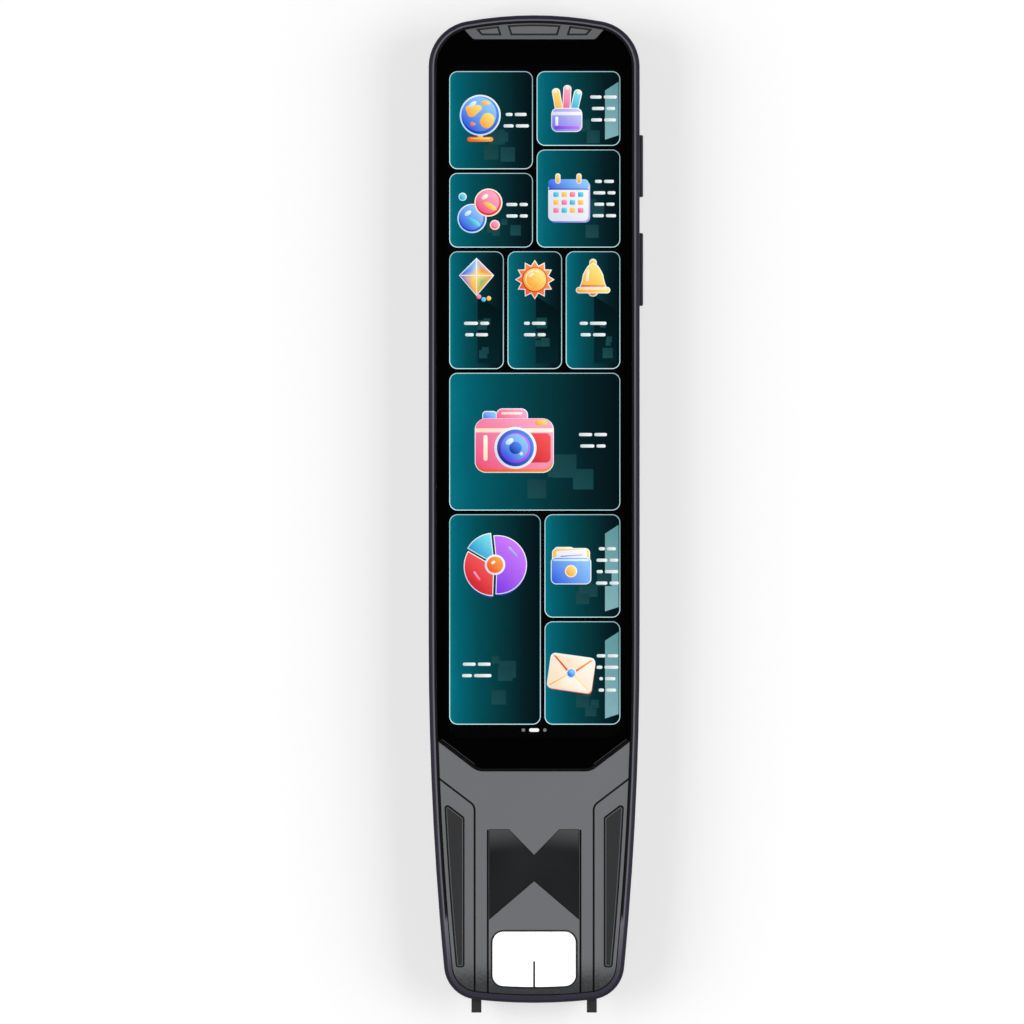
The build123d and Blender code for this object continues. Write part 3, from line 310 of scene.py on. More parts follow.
def moulded(name, colour, roughness=0.5, grain=0.22 * mm, depth=0.012 * mm, shift=0.1):
    """Moulded or painted plastic: a colour that varies a little in wide patches and from grain to grain,
    and a fine grain that stands up by depth."""
    material, place = open_finish(name)
    patches = place.noise(14 * mm)
    grains = place.noise(grain, 3)
    mottled = (0.5 * patches + 0.5 * grains).rise(0.3, 0.7)
    sockets = {
        "Base Color": mottled.blend(toned(colour, 1 - shift), toned(colour, 1 + shift)),
        "Roughness": roughness - 0.06 + 0.12 * patches,
        "Normal": grains.bump(depth),
    }
    return close_finish(material, place.principled(sockets))


def metal(name, colour, roughness=0.3, brushed=(1, 12, 12)):
    """Bare metal, with fine marks that run along one axis."""
    material, place = open_finish(name)
    marks = place.stretch(*brushed).noise(0.6 * mm, 3)
    sockets = {
        "Base Color": marks.blend(toned(colour, 0.8), colour),
        "Roughness": roughness - 0.08 + 0.16 * marks,
        "Metallic": 1.0,
        "Normal": marks.bump(0.002 * mm),
    }
    return close_finish(material, place.principled(sockets))


dress(moulded("case_plastic", tint(44, 43, 52), 0.5), "rear_cover")
dress(metal("screw_steel", tint(92, 92, 96), 0.38, (8, 8, 1)), "case_screws", "board_screws")


# ---- mid frame: the rim, the side walls and the plate under the display, moulded as one and painted a
# dark blue satin. Where the rim's round edge meets its flat top a paler line is a painted highlight, and
# except where the rim rolls down at the tip its flat inner strip is painted near black as shade beside
# the glass. At the tip the rim rolls down with the cover.
nose_length = 14.5 * mm
nose_drop = 1.8 * mm
nose_radius = (nose_length**2 + nose_drop**2) / (2 * nose_drop)
rim_low, rim_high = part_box("mid_frame")
nose_y = rim_low.y + nose_length


def depth_below(place, top):
    """How deep a place lies under the pen's front face. The face is level at top, and near the tip it
    follows a circle of nose_radius that starts level and drops away."""
    run = place.maths("MAXIMUM", nose_y - place.part("Y"), 0)
    across = (nose_radius**2 - run * run) ** 0.5
    return top - nose_radius + across - place.part("Z")


frame_finish, place = open_finish("frame_satin")
depth = depth_below(place, rim_high.z)
flat = place.part("Y").rise(nose_y - 1 * mm, nose_y + 1 * mm)
# painted shade and highlight: where edge is 0, on the rim's flat inner strip, the colour is near black as
# shade beside the glass, and a paler line is painted as a highlight where the round edge meets the flat
# top, weaker towards the tip
highlight_share = 0.15 + 0.85 * place.part("Y").rise(rim_low.y, nose_y)
edge = place.maths("MAXIMUM", depth.rise(0.0, 0.012 * mm), 1 - flat)
rim_highlight = highlight_share * depth.rise(0.1 * mm, 0.02 * mm) * edge
fine = place.noise(0.12 * mm, 3)
navy = place.noise(18 * mm).blend(tint(26, 25, 42), tint(32, 31, 50))
navy_with_inner_shade = edge.blend(tint(15, 15, 19), navy)
sockets = {
    "Base Color": rim_highlight.blend(navy_with_inner_shade, tint(112, 110, 120)),
    "Roughness": 0.42 + 0.08 * fine,
    "Specular IOR Level": 0.2,
    "Normal": fine.bump(0.0015 * mm),
}
dress(close_finish(frame_finish, place.principled(sockets)), "mid_frame")


# ---- front glass: a toughened clear plate with faint smears, set into the frame. A black border is
# printed on its underside, round the display.
glass_finish, place = open_finish("front_glass_clear")
smears = place.stretch(1, 0.35, 1).noise(7 * mm, 4).rise(0.5, 0.8)
sockets = {
    "Base Color": (1, 1, 1, 1),
    "Roughness": 0.01 + 0.04 * smears,
    "IOR": 1.5,
    "Transmission Weight": 1.0,
}
dress(close_finish(glass_finish, place.principled(sockets)), "front_glass")
dress(moulded("border_ink", tint(5, 5, 6), 0.6, 0.08 * mm, 0.002 * mm), "glass_border_print")


# ---- display: a black cell with a fine pixel grid, behind the glass. It shows a page of rounded cards,
# which are thin lit layers between the cell and the glass.
pixel = 0.085 * mm
backlight = 1.1
card_round = 1.4 * mm
card_points = 64  # on a card's outline
card_gap = 0.645 * mm
page_side = 0.77 * mm  # from the cell's sides to the cards
page_shift = 0.11 * mm  # to the right of the cell's middle
page_top = 1.7 * mm
layer_step = 0.004 * mm
layer_thickness = 0.003 * mm

panel_finish, place = open_finish("display_cell")
sockets = {
    "Base Color": place.noise(20 * mm).blend(tint(1, 1, 2), tint(3, 3, 4)),
    "Roughness": 0.5 + 0.1 * place.part("X").ripple(pixel),
    "Specular IOR Level": 0.0,
}
dress(close_finish(panel_finish, place.principled(sockets)), "display_panel")


def lit_layer(colour, place):
    """A lit layer of the display: only its own light shows, a little uneven as a real backlight is."""
    uneven = place.noise(1.2 * mm, 3).blend((0.92, 0.92, 0.92, 1), (1.08, 1.08, 1.08, 1))
    product = {"data_type": "RGBA", "blend_type": "MULTIPLY"}
    shown = place.node("ShaderNodeMix", product, {0: 1.0, 6: colour, 7: uneven}, output=2)
    dark = {"Base Color": (0, 0, 0, 1), "Specular IOR Level": 0.0}
    return place.principled({**dark, "Emission Color": shown, "Emission Strength": backlight})


def turns(count):
    """Angles once round, none of them on an axis."""
    return (np.arange(count) + 0.5) * 2 * math.pi / count


def slab(x, y, width, height, radius, lean=0.0, count=48):
    """A rounded rectangle: a circle whose quarters are moved apart to the corners, turned by lean
    degrees about its middle."""
    turn = turns(count)
    across = radius * np.cos(turn) + np.sign(np.cos(turn)) * (width / 2 - radius)
    up = radius * np.sin(turn) + np.sign(np.sin(turn)) * (height / 2 - radius)
    return leant(np.stack([across, up], -1), x, y, lean)


def leant(outline, x, y, lean):
    """An outline turned by lean degrees about its own middle, which then goes to x, y."""
    cosine, sine = math.cos(math.radians(lean)), math.sin(math.radians(lean))
    return outline @ np.array([[cosine, sine], [-sine, cosine]]) + (x, y)


def plate(outline, low, high, colours=None):
    """A thin plate: the outline is carried from a point under its middle out to the edge, up, and back
    to a point over the middle."""
    middle = np.broadcast_to(outline.mean(0), outline.shape)
    return graded([middle, outline, outline, middle], [low, low, high, high], colours)


def band(outer, inner, low, high, colours=None):
    """A thin frame: a small rectangle carried round between two outlines of as many points."""
    return graded([outer, outer, inner, inner], [low, high, high, low], colours)


def graded(loops, levels, colours=None):
    """Loops at their levels as one grid. Where two colours are given, the grid's colour goes evenly from
    the first at the lower left to the second at the upper right."""
    levels = [np.broadcast_to(level, len(loops[0])) for level in levels]
    grid = np.stack([np.column_stack([loop, level]) for loop, level in zip(loops, levels)])
    if colours is None:
        return grid
    along = grid[..., 0] + grid[..., 1]
    share = ((along - along.min()) / (along.max() - along.min()))[..., None]
    first, second = (np.array(tint(*colour)[:3]) for colour in colours)
    return np.concatenate([grid, first + (second - first) * share], -1)


def on_display(piece):
    """Fixes a layer of the page to the body."""
    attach(piece, "body")


cell_low, cell_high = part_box("display_panel")
page_z = cell_high.z + 2 * layer_step
page_left, page_right = cell_low.x + page_side + page_shift, cell_high.x - page_side + page_shift
page_width = page_right - page_left
page_high = cell_high.y - page_top
long_card, short_card = 16.71 * mm, 12.72 * mm  # heights in the two columns at the top
third_height, wide_height, last_height = 20.08 * mm, 23.48 * mm, 35.87 * mm  # heights of the rows below
half_width = (page_width - card_gap) / 2
third_width = (page_width - 2 * card_gap) / 3
tall_share = 0.535  # of the page's width, for the tall card at the lower left
tall_width = tall_share * page_width
small_width = page_width - tall_width - card_gap
small_height = (last_height - card_gap) / 2
third_y = page_high - long_card - short_card - 2 * card_gap
wide_y = third_y - third_height - card_gap
last_y = wide_y - wide_height - card_gap
right_x = page_left + half_width + card_gap
last_x = page_left + tall_width + card_gap
cards = {  # left side, top, width and height
    "globe": (page_left, page_high, half_width, long_card),
    "pencils": (right_x, page_high, half_width, short_card),
    "marbles": (page_left, page_high - long_card - card_gap, half_width, short_card),
    "calendar": (right_x, page_high - short_card - card_gap, half_width, long_card),
    "kite": (page_left, third_y, third_width, third_height),
    "sun": (page_left + third_width + card_gap, third_y, third_width, third_height),
    "bell": (page_left + 2 * (third_width + card_gap), third_y, third_width, third_height),
    "camera": (page_left, wide_y, page_width, wide_height),
    "chart": (page_left, last_y, tall_width, last_height),
    "folder": (last_x, last_y, small_width, small_height),
    "envelope": (last_x, last_y - small_height - card_gap, small_width, small_height),
}


def on_card(card, across, down):
    """A place on a card, by its shares of the width and the height from the upper left."""
    left, top, width, height = cards[card]
    return left + across * width, top - down * height


card_finish, place = open_finish("display_cards")
share = place.node("ShaderNodeVertexColor", {"layer_name": "shade"}).part("X")
sweep = share + 0.08 * (place.noise(9 * mm, 1) - 0.5)
teal = [
    (0.0, tint(4, 114, 127)),
    (0.1, tint(0, 97, 111)),
    (0.3, tint(0, 76, 86)),
    (0.55, tint(2, 55, 60)),
    (0.8, tint(2, 31, 37)),
    (1.0, tint(0, 14, 18)),
]
colour = sweep.node("ShaderNodeValToRGB", {"stops": teal}, {0: sweep})
close_finish(card_finish, lit_layer(colour, place))
card_grids = []
for left, top, width, height in cards.values():
    outline = slab(left + width / 2, top - height / 2, width, height, card_round, count=card_points)
    grid = plate(outline, page_z, page_z + layer_thickness)
    along = (grid[..., :1] - left) / width
    card_grids.append(np.concatenate([grid, along, along, along], -1))
on_display(skin("page_cards", card_grids, card_finish))


# ---- card edges: a thin pale line round each card, brighter at its lower left. It is lit by the display
# and lies one layer above the card.
line_width = 0.14 * mm
lines_z = page_z + layer_step

shade_finish, place = open_finish("display_colours")
colour = place.node("ShaderNodeVertexColor", {"layer_name": "shade"})
close_finish(shade_finish, lit_layer(colour, place))
edge_colours = ((206, 248, 255), (148, 188, 196))
edge_grids = []
for left, top, width, height in cards.values():
    middle = (left + width / 2, top - height / 2)
    inner_size = (width - 2 * line_width, height - 2 * line_width, card_round - line_width)
    outer = slab(*middle, width, height, card_round, count=card_points)
    inner = slab(*middle, *inner_size, count=card_points)
    edge_grids.append(band(outer, inner, lines_z, lines_z + layer_thickness, edge_colours))
on_display(skin("page_card_edges", edge_grids, shade_finish, ring=True))


# ---- light and shade on the cards: a pale strip at the right of three of them, a dark half on the
# narrow ones, and faint squares scattered over all. They are thin lit layers too.
chance = np.random.default_rng(7)
light_width = 2.3 * mm
light_slope = 1.5 * mm
light_inset = 0.3 * mm
dark_half = ((0.52, 0.95), (0.93, 0.95), (0.93, 0.5), (0.52, 0.38))  # its corners as shares of the card
square_count = 4  # to a card
square_round = 0.05 * mm
strip_colours = ((132, 176, 184), (92, 148, 152))
shade_colours = ((0, 38, 44), (0, 18, 22))
square_colours = ((26, 74, 78), (18, 60, 64))
light_grids = []
for card in ("pencils", "folder", "envelope"):
    left, top, width, height = cards[card]
    outer_x = left + width - light_inset
    inner_x = outer_x - light_width
    low_y, high_y = top - height + light_inset, top - light_inset
    corners = [
        (outer_x, low_y + light_slope),
        (outer_x, high_y - light_slope),
        (inner_x, high_y - 2 * light_slope),
        (inner_x, low_y + light_slope / 2),
    ]
    light_grids.append(plate(np.array(corners), lines_z, lines_z + layer_thickness, strip_colours))
for card in ("kite", "sun", "bell"):
    corners = np.array([on_card(card, *corner) for corner in dark_half])
    light_grids.append(plate(corners, lines_z, lines_z + layer_thickness, shade_colours))
for card, (left, top, width, height) in cards.items():
    largest = 0.2 * min(width, height)
    for number in range(square_count):
        x, y = on_card(card, chance.uniform(0.5, 0.82), chance.uniform(0.58, 0.88))
        side = chance.uniform(0.4, 1.0) * largest
        low = lines_z + (1 + number) * layer_step
        square = slab(x, y, side, side, square_round, count=8)
        light_grids.append(plate(square, low, low + layer_thickness, square_colours))
on_display(skin("page_lights", light_grids, shade_finish))


# ---- pictures: one on each card, of plain everyday things. Each is built up from flat coloured shapes,
# stacked in thin lit layers from the back to the front.
def disc(x, y, radius, count=40):
    """A circle: a slab as wide and as high as its rounding."""
    return slab(x, y, 2 * radius, 2 * radius, radius, count=count)


def oval(x, y, width, height, lean=0.0, count=40):
    """An ellipse: a circle stretched to the width and the height."""
    turn = turns(count)
    return leant(np.stack([np.cos(turn) * width / 2, np.sin(turn) * height / 2], -1), x, y, lean)


def star(x, y, outer, inner, points, lean=90.0):
    """A star: corners at even angles, which lie at two radii by turns."""
    turn = np.arange(2 * points) * math.pi / points
    radius = np.where(np.arange(2 * points) % 2 == 0, outer, inner)
    return leant(np.stack([np.cos(turn) * radius, np.sin(turn) * radius], -1), x, y, lean)


def patch(x, y, width, height, lobes, lean=0.0, count=40):
    """A blob: an ellipse whose radius swells and shrinks in a cosine wave, lobes times round."""
    turn = turns(count)
    swell = 1 + 0.16 * np.cos(lobes * turn)
    outline = np.stack([np.cos(turn) * width / 2 * swell, np.sin(turn) * height / 2 * swell], -1)
    return leant(outline, x, y, lean)


def slice_of(x, y, radius, start, end, count=24):
    """A slice of a circle: its middle, and an arc between two angles in degrees."""
    turn = np.radians(np.linspace(start, end, count))
    arc = np.stack([np.cos(turn) * radius, np.sin(turn) * radius], -1)
    return np.concatenate([[(0, 0)], arc]) + (x, y)


def bell_shape(x, y, width, height, count=16):
    """A bell: from the crown down its half width grows with the square root of the drop as far as the
    shoulders, and with the drop's cube out to the mouth."""
    drop = np.linspace(0, 1, count)
    half = width / 2 * (0.62 * np.sqrt(np.clip(drop * 2.4, 0, 1)) + 0.38 * drop**3)
    up = height * (0.5 - drop)
    left_side = np.stack([-half, up], -1)
    right_side = np.stack([half, up], -1)[::-1]
    return np.concatenate([left_side, right_side[:-1]]) + (x, y)


def inset_line(outline, inset):
    """An outline moved inwards by inset, or outwards where that is below zero. Each corner goes along
    the mean of its two sides' inward directions, far enough for both sides to move by this much."""
    side = np.roll(outline, -1, 0) - outline
    inward = np.stack([-side[:, 1], side[:, 0]], -1) / np.linalg.norm(side, axis=1)[:, None]
    before = np.roll(inward, 1, 0)
    return outline + inset * (inward + before) / (1 + (inward * before).sum(1))[:, None]


pale_rim = 0.15  # in millimetres, as the pictures are


def edged(outline, colours):
    """A shape over a slightly larger pale one, which shows round it as a fine bright edge."""
    return [(inset_line(outline, -pale_rim), white), (outline, colours)]


def stacked(outlines):
    """The level of each shape: one over the highest earlier shape whose box overlaps its own."""
    boxes = [(outline.min(0), outline.max(0)) for outline in outlines]
    levels = []
    for low, high in boxes:
        under = [
            level
            for level, (other_low, other_high) in zip(levels, boxes)
            if (low < other_high).all() and (other_low < high).all()
        ]
        levels.append(max(under, default=-1) + 1)
    return levels


# each is a pair: the colour at a shape's lower left, and the one at its upper right
sky_blue = ((44, 92, 225), (150, 208, 255))
deep_blue = ((24, 44, 150), (84, 140, 245))
pale_blue = ((176, 214, 255), (244, 250, 255))
yellow = ((246, 162, 48), (255, 232, 130))
cream = ((255, 222, 190), (255, 250, 238))
orange = ((236, 84, 30), (255, 168, 84))
pink = ((238, 84, 128), (255, 176, 206))
red = ((206, 34, 50), (250, 92, 92))
violet = ((120, 52, 226), (206, 124, 255))
lilac = ((116, 116, 224), (204, 204, 255))
cyan = ((34, 150, 205), (130, 236, 244))
green = ((40, 150, 110), (150, 226, 140))
white = ((214, 220, 236), (255, 255, 255))

day_colours = (cyan, yellow, pink)
days = [
    (slab(-2.1 + 1.4 * column, 0.7 - 1.35 * row, 0.95, 0.85, 0.2), day_colours[(column + row) % 3])
    for row in range(3)
    for column in range(4)
]
kite_top, kite_tail = (0, 3.5), (0, -2.6)
kite_left, kite_cross, kite_right = (-2.8, 0.7), (0, 0.7), (2.8, 0.7)
kite = np.array([kite_top, kite_left, kite_tail, kite_right])
pictures = {  # the middle's place on the card, and the shapes from the back to the front in millimetres
    "globe": (0.37, 0.45, [
        (slab(0, -4.1, 4.4, 0.8, 0.4), orange),
        (slab(0, -3.95, 3.4, 0.25, 0.12), yellow),
        (slab(0, -3.5, 0.9, 0.9, 0.2), yellow),
        (disc(0, 0, 3.5), pale_blue),
        (disc(0, 0, 3.22), deep_blue),
        (disc(-0.18, 0.18, 2.95), sky_blue),
        (patch(-1.2, 0.9, 2.7, 2.0, 3, 20), yellow),
        (patch(1.2, -0.9, 2.3, 2.7, 2, 60), yellow),
        (patch(0.9, 2.1, 1.5, 0.8, 3, 0), yellow),
        (patch(-1.3, -1.5, 0.9, 0.7, 3, 0), orange),
        (oval(-1.3, 1.9, 1.5, 0.7, 35), pale_blue),
    ]),
    "pencils": (0.36, 0.52, [
        *edged(slab(-1.5, 1.2, 1.1, 4.8, 0.5, 10), yellow),
        *edged(slab(0.0, 1.6, 1.1, 5.0, 0.5, -3), pink),
        *edged(slab(1.5, 1.1, 1.1, 4.6, 0.5, -13), cyan),
        (disc(-1.95, 3.2, 0.34), cream),
        (disc(0.12, 3.75, 0.34), cream),
        (disc(2.05, 3.0, 0.34), cream),
        *edged(slab(0, -1.7, 5.0, 3.8, 0.9), lilac),
        (slab(0, -3.0, 4.2, 0.5, 0.2), violet),
        (slab(0, -0.6, 5.0, 0.6, 0.1), white),
        (slab(-1.7, -1.9, 0.5, 1.6, 0.25), white),
    ]),
    "marbles": (0.37, 0.5, [
        (disc(-1.4, -1.4, 2.5), pale_blue),
        (disc(-1.4, -1.4, 2.27), deep_blue),
        (disc(-1.52, -1.28, 2.06), sky_blue),
        (oval(-1.1, -2.0, 2.6, 0.9, -30), cyan),
        (oval(-2.1, -0.5, 1.3, 0.7, 35), pale_blue),
        (disc(1.4, 1.3, 2.4), cream),
        (disc(1.4, 1.3, 2.17), red),
        (disc(1.28, 1.42, 1.96), pink),
        (oval(1.7, 0.7, 2.5, 0.9, -30), yellow),
        (oval(0.8, 2.3, 1.3, 0.7, 35), cream),
        (disc(2.5, -2.5, 0.85), cream),
        (disc(2.5, -2.5, 0.68), pink),
        (disc(-3.0, 2.3, 0.7), pale_blue),
        (disc(-3.0, 2.3, 0.54), cyan),
    ]),
    "calendar": (0.38, 0.5, [
        (slab(0.25, -0.55, 6.9, 7.1, 0.9), lilac),
        (slab(0, -0.3, 6.9, 7.1, 0.9), white),
        (slab(0, 2.4, 6.9, 1.8, 0.7), sky_blue),
        (slab(0, 1.6, 6.9, 0.22, 0.1), deep_blue),
        *edged(slab(-1.8, 3.4, 0.6, 1.5, 0.3), yellow),
        *edged(slab(1.8, 3.4, 0.6, 1.5, 0.3), yellow),
        *days,
    ]),
    "kite": (0.5, 0.24, [
        (disc(0.4, -2.9, 0.4), pink),
        (disc(1.2, -3.4, 0.4), cyan),
        (disc(2.1, -3.2, 0.4), yellow),
        (inset_line(kite, -pale_rim), white),
        (np.array([kite_top, kite_left, kite_cross]), sky_blue),
        (np.array([kite_top, kite_cross, kite_right]), orange),
        (np.array([kite_cross, kite_left, kite_tail]), yellow),
        (np.array([kite_cross, kite_tail, kite_right]), green),
        (slab(0, 0.45, 0.18, 5.9, 0.05), cream),
        (slab(0, 0.7, 5.3, 0.18, 0.05), cream),
    ]),
    "sun": (0.5, 0.24, [
        *edged(star(0, 0, 3.1, 2.25, 12), orange),
        (disc(0, 0, 2.15), red),
        (disc(0, 0, 1.95), yellow),
        (disc(-0.1, 0.1, 1.5), cream),
        (disc(-0.02, 0.02, 1.42), yellow),
        (oval(-0.6, 0.8, 1.0, 0.5, 35), cream),
    ]),
    "bell": (0.5, 0.24, [
        *edged(disc(0, -2.0, 0.75), orange),
        *edged(disc(0, 2.9, 0.5), yellow),
        *edged(bell_shape(0, 0.4, 5.0, 4.6), yellow),
        (slab(0, -1.1, 4.1, 0.35, 0.1), orange),
        *edged(slab(0, -1.8, 5.6, 0.8, 0.4), yellow),
        (slab(0, -1.6, 4.8, 0.2, 0.1), cream),
        (slab(-0.9, 0.7, 0.45, 2.0, 0.22, -6), cream),
    ]),
    "camera": (0.38, 0.49, [
        *edged(slab(-4.2, 3.9, 2.2, 1.9, 0.5), sky_blue),
        *edged(slab(-0.4, 3.8, 5.2, 3.0, 1.0), pink),
        *edged(slab(0, -0.9, 13.2, 9.0, 1.8), orange),
        (slab(0, -0.6, 13.2, 8.6, 1.8), pink),
        (slab(0, 1.7, 13.2, 0.7, 0.1), cream),
        (slab(3.9, -1.3, 4.6, 5.0, 0.8), red),
        (disc(0.2, -1.3, 3.6), white),
        (disc(0.2, -1.3, 3.15), deep_blue),
        (disc(0.2, -1.3, 2.55), violet),
        (disc(0.1, -1.2, 2.25), sky_blue),
        (disc(0.2, -1.3, 1.05), deep_blue),
        (oval(-0.8, -0.2, 1.5, 0.9, 35), pale_blue),
        (disc(1.2, -2.3, 0.3), pale_blue),
        (slab(4.6, 3.0, 2.1, 0.9, 0.4), yellow),
        (slab(-0.4, 4.6, 3.6, 0.4, 0.2), cream),
        (slab(-4.9, -1.3, 0.7, 4.4, 0.35), cream),
    ]),
    "chart": (0.5, 0.24, [
        (slice_of(0.4, -0.4, 4.9, -92, 96), deep_blue),
        (slice_of(-0.3, -0.7, 4.9, 150, 268), deep_blue),
        *edged(slice_of(0.4, 0, 4.9, -92, 96), violet),
        *edged(slice_of(-0.3, -0.3, 4.9, 150, 268), red),
        *edged(slice_of(-0.3, 0.4, 4.9, 96, 150), cyan),
        (disc(0, 0, 1.75), white),
        (disc(0, 0, 1.4), orange),
        (oval(-0.3, 0.4, 0.8, 0.5, 35), cream),
        (slab(3.0, 2.2, 0.5, 2.2, 0.25, 40), lilac),
        (slab(-3.1, -1.9, 0.4, 1.8, 0.2, 35), pink),
    ]),
    "folder": (0.35, 0.5, [
        *edged(slab(-1.2, 2.2, 3.2, 1.8, 0.5), yellow),
        *edged(slab(0, 0.4, 6.2, 5.0, 0.7), yellow),
        (slab(0.2, 0.5, 5.2, 4.4, 0.3, 4), white),
        (slab(0.1, 1.75, 3.8, 0.2, 0.1, 4), lilac),
        *edged(slab(0, -0.8, 6.6, 4.4, 0.8), sky_blue),
        (slab(0, 1.0, 6.0, 0.35, 0.15), pale_blue),
        (disc(0, -0.9, 1.05), cream),
        (disc(0, -0.9, 0.85), yellow),
    ]),
    "envelope": (0.35, 0.5, [
        (slab(0.2, -0.3, 7.4, 5.8, 0.7, -8), orange),
        *edged(slab(0, 0, 7.4, 5.8, 0.7, -8), cream),
        (leant(np.array([(0, 0.2), (-3.5, -2.5), (3.5, -2.5)]), 0, 0, -8), yellow),
        (leant(np.array([(0, -0.05), (-3.3, -2.6), (3.3, -2.6)]), 0, 0, -8), cream),
        (leant(np.array([(-3.4, 2.6), (0, -0.5), (3.4, 2.6)]), 0, 0, -8), orange),
        (leant(np.array([(-3.0, 2.6), (0, 0.0), (3.0, 2.6)]), 0, 0, -8), cream),
        (disc(0.05, 0.0, 0.85), pale_blue),
        (disc(0.05, 0.0, 0.68), sky_blue),
        (disc(0.0, 0.08, 0.3), cyan),
    ]),
}
picture_z = lines_z + (square_count + 2) * layer_step  # over the last of the faint squares
for card, (across, down, shapes) in pictures.items():
    middle = np.array(on_card(card, across, down))
    grids = []
    for level, (outline, colours) in zip(stacked([shape[0] for shape in shapes]), shapes):
        low = picture_z + level * layer_step
        grids.append(plate(outline * mm + middle, low, low + layer_thickness, colours))
    on_display(skin("picture_" + card, grids, shade_finish))


# ---- captions: rows of short pale bars in place of words, and the dots that count the pages. All are
# thin lit layers, level with the lowest of the pictures.
bar_height = 0.55 * mm
bar_space = 0.35 * mm
row_pitch = 1.95 * mm
captions = {  # the middle's place on the card, rows, and the length of a row in millimetres
    "globe": (0.8, 0.5, 2, 4.4),
    "pencils": (0.8, 0.5, 3, 4.6),
    "marbles": (0.81, 0.5, 2, 4.4),
    "calendar": (0.81, 0.5, 4, 4.4),
    "kite": (0.5, 0.66, 2, 4.8),
    "sun": (0.5, 0.66, 2, 4.8),
    "bell": (0.5, 0.66, 2, 4.8),
    "camera": (0.84, 0.49, 2, 5.4),
    "chart": (0.3, 0.74, 2, 5.6),
    "folder": (0.83, 0.5, 4, 4.0),
    "envelope": (0.83, 0.5, 4, 3.8),
}
caption_colours = ((206, 214, 216), (244, 250, 252))
caption_grids = []
for card, (across, down, count, length) in captions.items():
    middle_x, middle_y = on_card(card, across, down)
    for row in range(count):
        row_length = length * mm * chance.uniform(0.72, 1.0)
        cut = row_length * chance.uniform(0.35, 0.65)
        y = middle_y + ((count - 1) / 2 - row) * row_pitch
        start = middle_x - row_length / 2
        for low_x, high_x in ((start, start + cut - bar_space), (start + cut, start + row_length)):
            bar = slab((low_x + high_x) / 2, y, high_x - low_x, bar_height, bar_height / 2, count=16)
            caption_grids.append(plate(bar, picture_z, picture_z + layer_thickness, caption_colours))
on_display(skin("page_captions", caption_grids, shade_finish))

dot_drop = 0.93 * mm  # from the cards to the dots' middles
dot_height = 0.6 * mm
dots = ((-1.83, 0.6, 120), (0, 1.7, 250), (1.83, 0.6, 120))  # X and width in millimetres, and how light
dot_y = last_y - last_height - dot_drop
dot_grids = []
for x, width, light in dots:
    dot = slab(x * mm, dot_y, width * mm, dot_height, dot_height / 2, count=24)
    dot_grids.append(plate(dot, picture_z, picture_z + layer_thickness, 2 * ((light, light, light),)))
on_display(skin("page_dots", dot_grids, shade_finish))


# ---- display's hidden layers: the white moulded light box behind the cell, its ring of black foam, and
# the amber film tape that leads from the cell's lower end down through the frame's plate.
def film(name, colour, trace, pitch):
    """Plastic film with copper tracks that run along it."""
    material, place = open_finish(name)
    tracks = place.part("X").ripple(pitch).rise(0.55, 0.7)
    sockets = {
        "Base Color": tracks.blend(colour, trace),
        "Roughness": 0.35 + 0.15 * place.noise(2 * mm),
        "Normal": tracks.bump(0.01 * mm),
    }
    return close_finish(material, place.principled(sockets))


def foam(name, colour):
    """Soft closed-cell foam."""
    material, place = open_finish(name)
    cells = place.noise(0.35 * mm, 4)
    sockets = {
        "Base Color": cells.blend(toned(colour, 0.5), colour),
        "Roughness": 0.85 + 0.1 * cells,
        "Normal": cells.bump(0.05 * mm),
    }
    return close_finish(material, place.principled(sockets))


dress(moulded("light_box", tint(224, 226, 228), 0.45, 0.5 * mm, 0.004 * mm, 0.04), "display_backlight")
dress(foam("black_foam", tint(40, 40, 42)), "display_foam", "battery_pad")
amber = film("amber_film", tint(150, 92, 30), tint(196, 138, 60), 0.6 * mm)
dress(amber, "display_tape", "tip_ribbon", "antenna_strip")


# ---- top trim: a bar of grey painted plastic over the glass. Three thin inserts are let into it. Round
# each insert's edge a dark line is painted as the shade of the narrow gap between insert and bar.
def front_outline(node):
    """The outline of a node that is straight up and down and has no hollows, as it is seen from the
    front: its corners in order round their middle."""
    corners = [corner.co.xy for corner in frame["nodes"][node].data.vertices]
    hull = np.array([corners[index] for index in mathutils.geometry.convex_hull_2d(corners)])
    hull = np.unique(hull.round(7), axis=0)
    spokes = hull - hull.mean(0)
    return hull[np.argsort(np.arctan2(spokes[:, 1], spokes[:, 0]))]


line_insets = (0.01 * mm, 0.2 * mm)  # from the insert's edge to the line's two edges
line_lift = 0.004 * mm
dress(moulded("trim_paint", tint(104, 105, 108), 0.45, 0.16 * mm, 0.004 * mm, 0.05), "top_trim")
insert_finish = moulded("insert_paint", tint(112, 112, 115), 0.4, 0.12 * mm, 0.003 * mm, 0.05)
# painted shade: the dark lines round the inserts, and the grips' shadow lines further on, stand for the
# shade in narrow gaps
gap_shade_finish = moulded("painted_shade_line", tint(10, 10, 11), 0.5, 0.08 * mm, 0.001 * mm)
for number, side in enumerate(("left", "centre", "right")):
    insert = "trim_insert_" + side
    dress(insert_finish, insert)
    outer, inner = (inset_line(front_outline(insert), inset) for inset in line_insets)
    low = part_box(insert)[1].z + line_lift
    line_grid = band(outer, inner, low, low + 2 * line_lift)
    painted = skin(f"trim_shade_line_{number}", [line_grid], gap_shade_finish, ring=True)
    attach(painted, "body")


